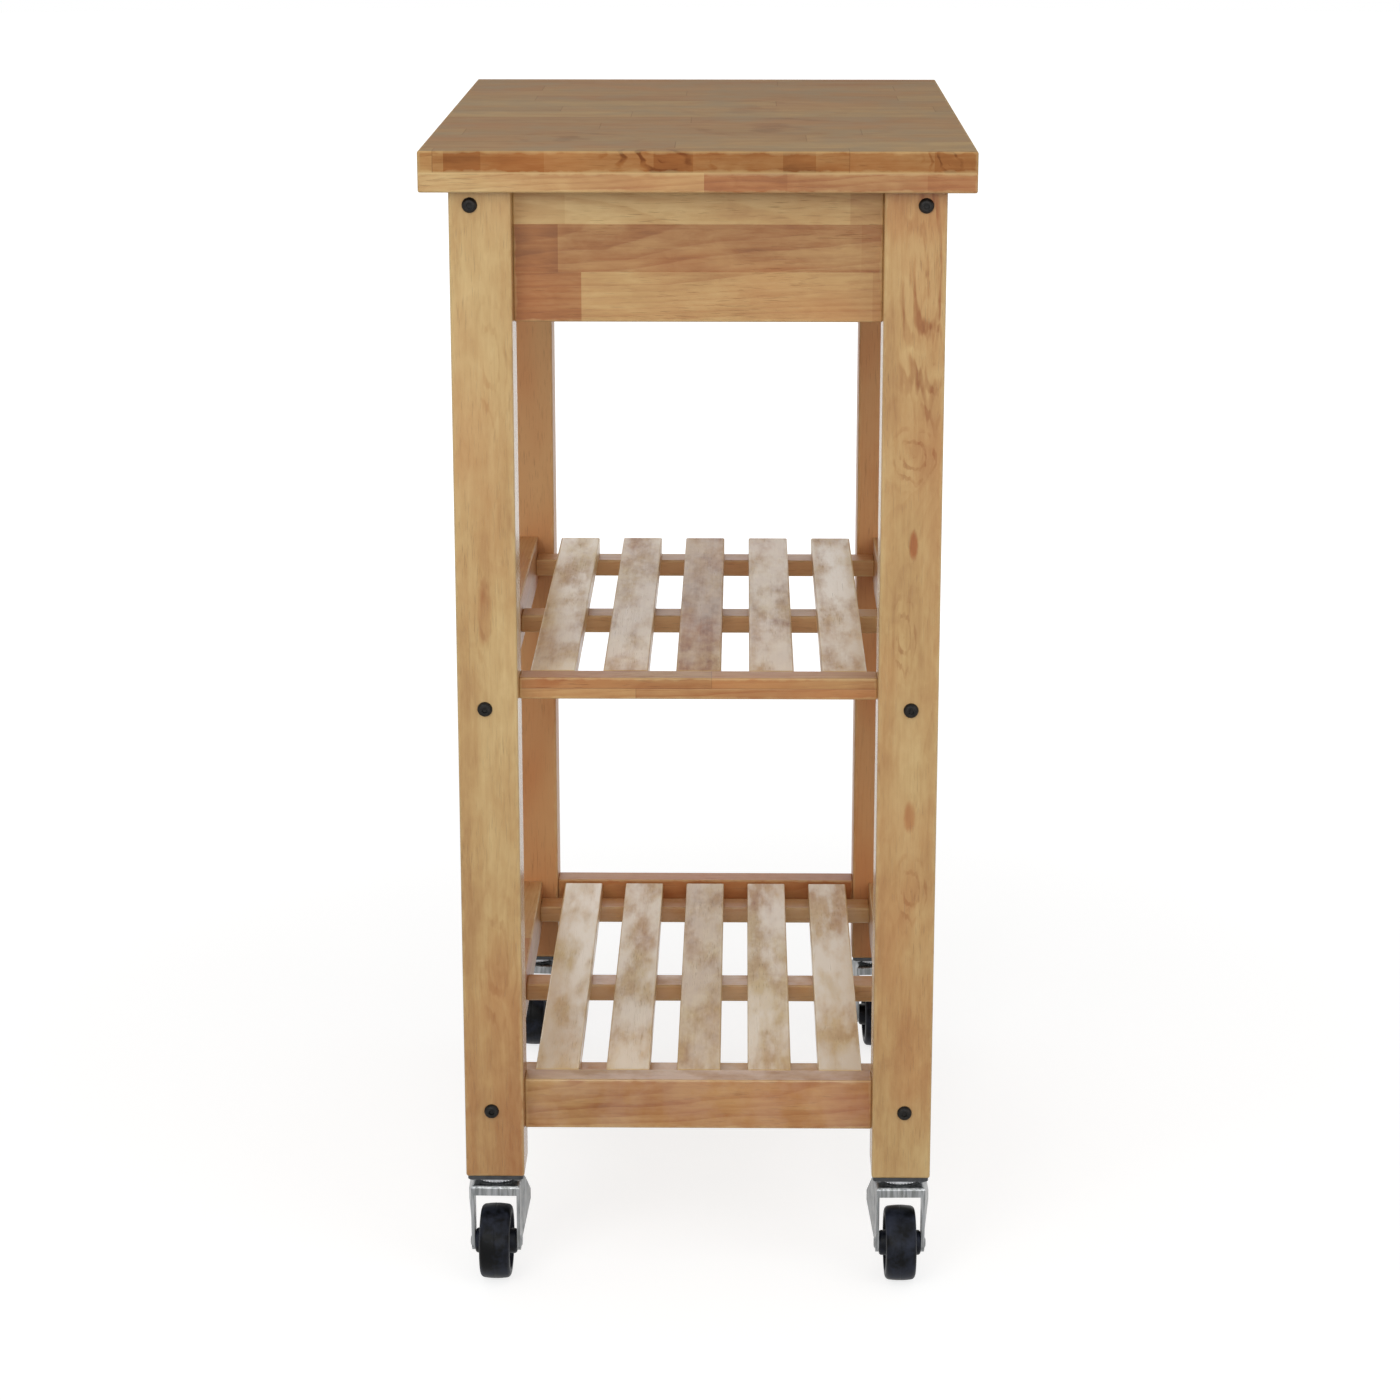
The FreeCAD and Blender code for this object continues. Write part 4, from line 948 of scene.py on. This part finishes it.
class TROLLEY_OT_aprons(bpy.types.Operator):
    """Gives the four aprons under the top their glued-up wood"""

    bl_idname = "trolley.aprons"
    bl_label = "Finish the aprons"

    def execute(self, context):
        # Staves of the near apron in three bands up its height, with tone steps along them. The top band is
        # also lighter as painted light, lifting the shadow that the top's overhang casts on it.
        bands = [
            (0.022, 0.06, [(0.0, 0.0), (0.14, -0.08), (0.91, 0.04)]),
            (-0.012, 0.0219, [(0.0, 0.46), (0.12, 0.27), (0.94, 0.32)]),
            (-0.06, -0.0121, [(0.0, 0.36), (0.18, 0.06), (0.97, 0.14)]),
        ]
        finish_board(
            "apron_near", "x_upright", 0.28, 31, planned=bands, tint=-0.12, figure=0.12, lean=(0.0, 0.03, 0)
        )
        finish_board("apron_far", "x_upright", 0.32, 32, staves=(0.032, 0.24), spread=0.4, tint=0.12)
        for side in SIDES:
            name = f"apron_{side}"
            finish_board(name, "y_upright", 0.32, 33 + len(side), staves=(0.032, 0.3), spread=0.4, tint=0.12)
        return {"FINISHED"}


class TROLLEY_OT_rails(bpy.types.Operator):
    """Gives the rails round both shelves their wood"""

    bl_idname = "trolley.rails"
    bl_label = "Finish the rails"

    def execute(self, context):
        finish_board("upper_front_rail", "x_upright", 0.5, 41, tint=0.18, staves=(0.05, 0.21), spread=0.2)
        # Painted sheen on the top of the lower shelf's near end rail.
        finish_board("lower_end_rail_near", "x_upright", 0.46, 42, tint=0.12, painted_sheen=0.3, coat=0.7)
        finish_board("lower_end_rail_far", "x_upright", 0.48, 43, tint=0.7)
        for number, shelf in enumerate(SHELVES):
            for side in SIDES:
                name, seed = f"{shelf}_side_rail_{side}", 44 + number * 7 + len(side)
                finish_board(name, "y_upright", 0.34, seed, tint=0.4, staves=(0.06, 0.33), spread=0.2)
        return {"FINISHED"}


class TROLLEY_OT_shelves(bpy.types.Operator):
    """Gives the slats and cross bars of both shelves their wood"""

    bl_idname = "trolley.shelves"
    bl_label = "Finish the shelves"

    def execute(self, context):
        # Tone, painted sheen and gloss of each slat, from left to right
        upper = ((0.1, 0.5, 0.45), (0.26, 0.5, 0.3), (0.5, 0.3, 0.05), (0.26, 0.5, 0.3), (0.1, 0.8, 0.55))
        lower = ((-0.1, 0.6, 0.8), (0.04, 0.6, 0.55), (0.24, 0.4, 0.3), (0.0, 0.6, 0.65), (-0.04, 0.8, 0.65))
        shelves = (("upper", upper, 0.1), ("lower", lower, 0.6))
        for number, (shelf, slats, bar_gloss) in enumerate(shelves):
            for slat, (tone, painted_sheen, gloss) in enumerate(slats, 1):
                finish_board(
                    f"{shelf}_slat_{slat}", "y", tone, 61 + number * 10 + slat, mottle=2.2, painted_sheen=painted_sheen,
                    figure=0.04, patch=44.0, smudge=0.14, specular=0.12 + 0.3 * gloss, polish=0.1, coat=gloss,
                    heart=(0.012, 0.03, 0), lean=(0.02, 0.04, 0),
                )
            for step, bar in enumerate(BARS):
                finish_board(f"{shelf}_bar_{bar}", "x", 0.0, 85 + number * 5 + step, tint=0.6, coat=bar_gloss)
        return {"FINISHED"}


class TROLLEY_OT_bolts(bpy.types.Operator):
    """Makes the twelve frame bolts with their domed heads and hexagon sockets"""

    bl_idname = "trolley.bolts"
    bl_label = "Make the frame bolts"

    def execute(self, context):
        look = context.scene.trolley_metal
        points, _ = seats("frame_bolts", look.bolt_head_height, inwards=True)
        source = bolt_source(look)
        values = {"Fastener": source, "Twist": math.radians(60), "Seed": 5}
        values["Material"] = black_steel_material()
        piece = grow("frame_bolt_set", fastener_tree(), values, points)
        discard(source)
        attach(piece, "trolley")
        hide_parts("frame_bolts")
        return {"FINISHED"}


class TROLLEY_OT_screws(bpy.types.Operator):
    """Makes the wood screws under the slats, in the casters' plates and in the brackets"""

    bl_idname = "trolley.screws"
    bl_label = "Make the wood screws"

    def execute(self, context):
        look = context.scene.trolley_metal
        material = zinc_material("screw_steel", look.zinc, 0.34)
        for node in ("slat_screws", "caster_screws", "bracket_screws"):
            points, length = seats(node, look.screw_head_height)
            source = screw_source(look, length)
            values = {"Fastener": source, "Twist": math.radians(90), "Seed": 8, "Material": material}
            piece = grow(node.replace("screws", "screw_set"), fastener_tree(), values, points)
            discard(source)
            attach(piece, "trolley")
            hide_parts(node)
        return {"FINISHED"}


class TROLLEY_OT_fittings(bpy.types.Operator):
    """Finishes the barrel nuts, the dowels and the brackets under the top"""

    bl_idname = "trolley.fittings"
    bl_label = "Finish the fittings"

    def execute(self, context):
        look = context.scene.trolley_metal
        dress("barrel_nuts", zinc_material("barrel_nut_steel", look.zinc, 0.36))
        dress("top_brackets", zinc_material("bracket_steel", look.zinc, 0.3))
        finish_board("dowels", "z", 0.1, 97)
        return {"FINISHED"}


class TROLLEY_OT_casters(bpy.types.Operator):
    """Finishes the casters' plates, forks and axles and makes the ring of balls under each plate"""

    bl_idname = "trolley.casters"
    bl_label = "Make the casters"

    def execute(self, context):
        look = context.scene.trolley_metal
        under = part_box("caster_plate_near_left")[1][2] - look.plate - 0.0001
        finishes = {
            "plate": zinc_material("plate_steel", shade(190, 192, 195), 0.4, dark_above=under),
            "fork": zinc_material("fork_steel", look.zinc, 0.3),
            "axle": zinc_material("axle_steel", look.zinc, 0.26),
        }
        ball = zinc_material("ball_steel", shade(214, 215, 217), 0.16)
        for tag in CORNERS:
            for part, material in finishes.items():
                dress(f"caster_{part}_{tag}", material)
            pivot = Vector(joint_of(f"swivel_{tag}")["pos_m"])
            values = {
                "Count": look.ball_count,
                "Ring Radius": look.ball_ring,
                "Ball Radius": look.ball_radius,
                "Middle": pivot + Vector((0, 0, 0.001)),
                "Material": ball,
            }
            balls = grow(f"caster_balls_{tag}", ball_tree(), values)
            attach(balls, "trolley")
        return {"FINISHED"}


class TROLLEY_OT_wheels(bpy.types.Operator):
    """Makes the four moulded wheels with their dished sides, hubs and treads"""

    bl_idname = "trolley.wheels"
    bl_label = "Make the wheels"

    def execute(self, context):
        look = context.scene.trolley_wheel
        material = plastic_material("wheel_plastic", look.plastic, look.dust_and_sheen)
        profile = wheel_outline(look)
        for tag in CORNERS:
            joint = joint_of(f"roll_{tag}")
            mesh = bmesh.new()
            lathe(mesh, profile + profile[:1], WHEEL_STEPS)
            bmesh.ops.remove_doubles(mesh, verts=mesh.verts, dist=1e-7)
            turn = Vector((0, 0, 1)).rotation_difference(Vector(joint["axis"])).to_matrix().to_4x4()
            mesh.transform(Matrix.Translation(joint["pos_m"]) @ turn)
            piece = new_piece(f"caster_tyre_{tag}", mesh, material, crease=32)
            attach(piece, f"wheel_{tag}")
            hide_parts(f"caster_wheel_{tag}")
        return {"FINISHED"}


def wheel_outline(look):
    """The section of a wheel from bore to bore round its tread, as (place along the axle, radius)."""
    half, radius, shoulder = look.half_width, look.radius, look.shoulder
    hub, hub_end = look.hub, look.half_hub
    dish = radius * 0.74
    web = half - 0.003
    side = [
        (hub_end, look.bore),
        (hub_end, hub * 0.86),
        (hub_end - 0.0006, hub * 0.95),
        (hub_end - 0.0016, hub),
        (web + 0.0012, hub),
        (web + 0.0004, hub * 1.05),
        (web, hub * 1.14),
        (web, dish - 0.0016),
        (web + 0.0005, dish - 0.0004),
        (web + 0.0014, dish),
        (half - 0.0006, dish),
        (half, dish + 0.0006),
    ]
    flat, crown = half - shoulder, look.crown
    edge = radius - crown - shoulder
    for step in range(9):
        angle = math.radians(84 * step / 8)
        side.append((flat + shoulder * math.cos(angle), edge + shoulder * math.sin(angle)))
    for step in range(1, 8):
        along = flat * (1 - step / 8)
        side.append((along, radius - crown * (along / flat) ** 2))
    side += [(0.00035, radius), (0.00015, radius - 0.00012)]
    return side + [(-along, distance) for along, distance in reversed(side)]


class TROLLEY_OT_stage(bpy.types.Operator):
    """Lays the floor, hangs the lamps and sets the camera"""

    bl_idname = "trolley.stage"
    bl_label = "Set the stage"

    def execute(self, context):
        scene = context.scene
        look = scene.trolley_stage
        lay_floor(look)
        light_room(scene, look)
        for name, (size, place, target) in LAMPS.items():
            hang_lamp(name.title(), getattr(look, name), size, place, target)
        data = bpy.data.cameras.new("Camera")
        data.lens = look.lens
        data.sensor_width = 36
        data.clip_end = 100
        camera = bpy.data.objects.new("Camera", data)
        camera.location = look.camera_place
        camera.rotation_euler = look.camera_turn
        scene.collection.objects.link(camera)
        scene.camera = camera
        scene.view_settings.view_transform = "Standard"
        return {"FINISHED"}


def seen(build):
    """1 for a ray that comes from the camera straight, by a mirror or through glass, and 0 for other rays."""
    rays = build.node("ShaderNodeLightPath").outputs
    direct = build.math("MAXIMUM", rays["Is Camera Ray"], rays["Is Glossy Ray"])
    return build.math("MAXIMUM", direct, rays["Is Transmission Ray"])


def lay_floor(look):
    mesh = bmesh.new()
    bmesh.ops.create_circle(mesh, cap_ends=True, segments=64, radius=FLOOR_RADIUS)
    mesh.transform(Matrix.Translation((0, 0, -FLOOR_DROP)))
    material, build, shader = new_material("studio_floor")
    place = object_place(build)
    cloud = build.noise(place, 3.0, 3.0)["Fac"]
    tone = build.mix(build.times(cloud, 0.05), look.floor, shade(170, 170, 169))
    level = build.spread(build.vector("LENGTH", place), 0.5, 2.2, look.floor_glow, 1.0, smooth=True)
    glow = build.times(seen(build), level)
    set_shader(build, shader, Base_Color=tone, Roughness=0.9, Specular_IOR_Level=0.0)
    set_shader(build, shader, Emission_Color=(1, 1, 1, 1), Emission_Strength=glow)
    floor = new_piece("studio_floor", mesh, material)


def light_room(scene, look):
    """Even light from all round, which the camera sees as plain white."""
    world = bpy.data.worlds.new("Studio")
    scene.world = world
    world.use_nodes = True
    world.node_tree.nodes.clear()
    build = Tree(world.node_tree)
    level = build.spread(seen(build), 0.0, 1.0, look.sky, 1.0)
    light = build.node("ShaderNodeBackground", {"Color": (1, 1, 1, 1), "Strength": level}).outputs[0]
    build.node("ShaderNodeOutputWorld", {"Surface": light})


def hang_lamp(name, power, size, place, target):
    data = bpy.data.lights.new(name, "AREA")
    data.energy = power
    data.size = size
    lamp = bpy.data.objects.new(name, data)
    lamp.location = place
    lamp.rotation_euler = (Vector(target) - Vector(place)).to_track_quat("-Z", "Y").to_euler()
    bpy.context.scene.collection.objects.link(lamp)


OPERATORS = (
    TROLLEY_OT_top,
    TROLLEY_OT_legs,
    TROLLEY_OT_aprons,
    TROLLEY_OT_rails,
    TROLLEY_OT_shelves,
    TROLLEY_OT_bolts,
    TROLLEY_OT_screws,
    TROLLEY_OT_fittings,
    TROLLEY_OT_casters,
    TROLLEY_OT_wheels,
    TROLLEY_OT_stage,
)


class TROLLEY_PT_panel(bpy.types.Panel):
    """Lists the pieces of the trolley and their settings"""

    bl_idname = "TROLLEY_PT_panel"
    bl_label = "Trolley"
    bl_space_type = "VIEW_3D"
    bl_region_type = "UI"
    bl_category = "Trolley"

    def draw(self, context):
        for operator in OPERATORS:
            self.layout.operator(operator.bl_idname)
        for name, group in SETTINGS.items():
            box = self.layout.box()
            for key in group.__annotations__:
                box.prop(getattr(context.scene, name), key)


CLASSES = (*SETTINGS.values(), *OPERATORS, TROLLEY_PT_panel)


def register():
    for cls in CLASSES:
        bpy.utils.register_class(cls)
    for name, group in SETTINGS.items():
        setattr(bpy.types.Scene, name, bpy.props.PointerProperty(type=group))


def unregister():
    for name in SETTINGS:
        delattr(bpy.types.Scene, name)
    for cls in reversed(CLASSES):
        bpy.utils.unregister_class(cls)


def main():
    register()
    for operator in OPERATORS:
        group, name = operator.bl_idname.split(".")
        getattr(getattr(bpy.ops, group), name)()


if __name__ == "__main__":
    main()
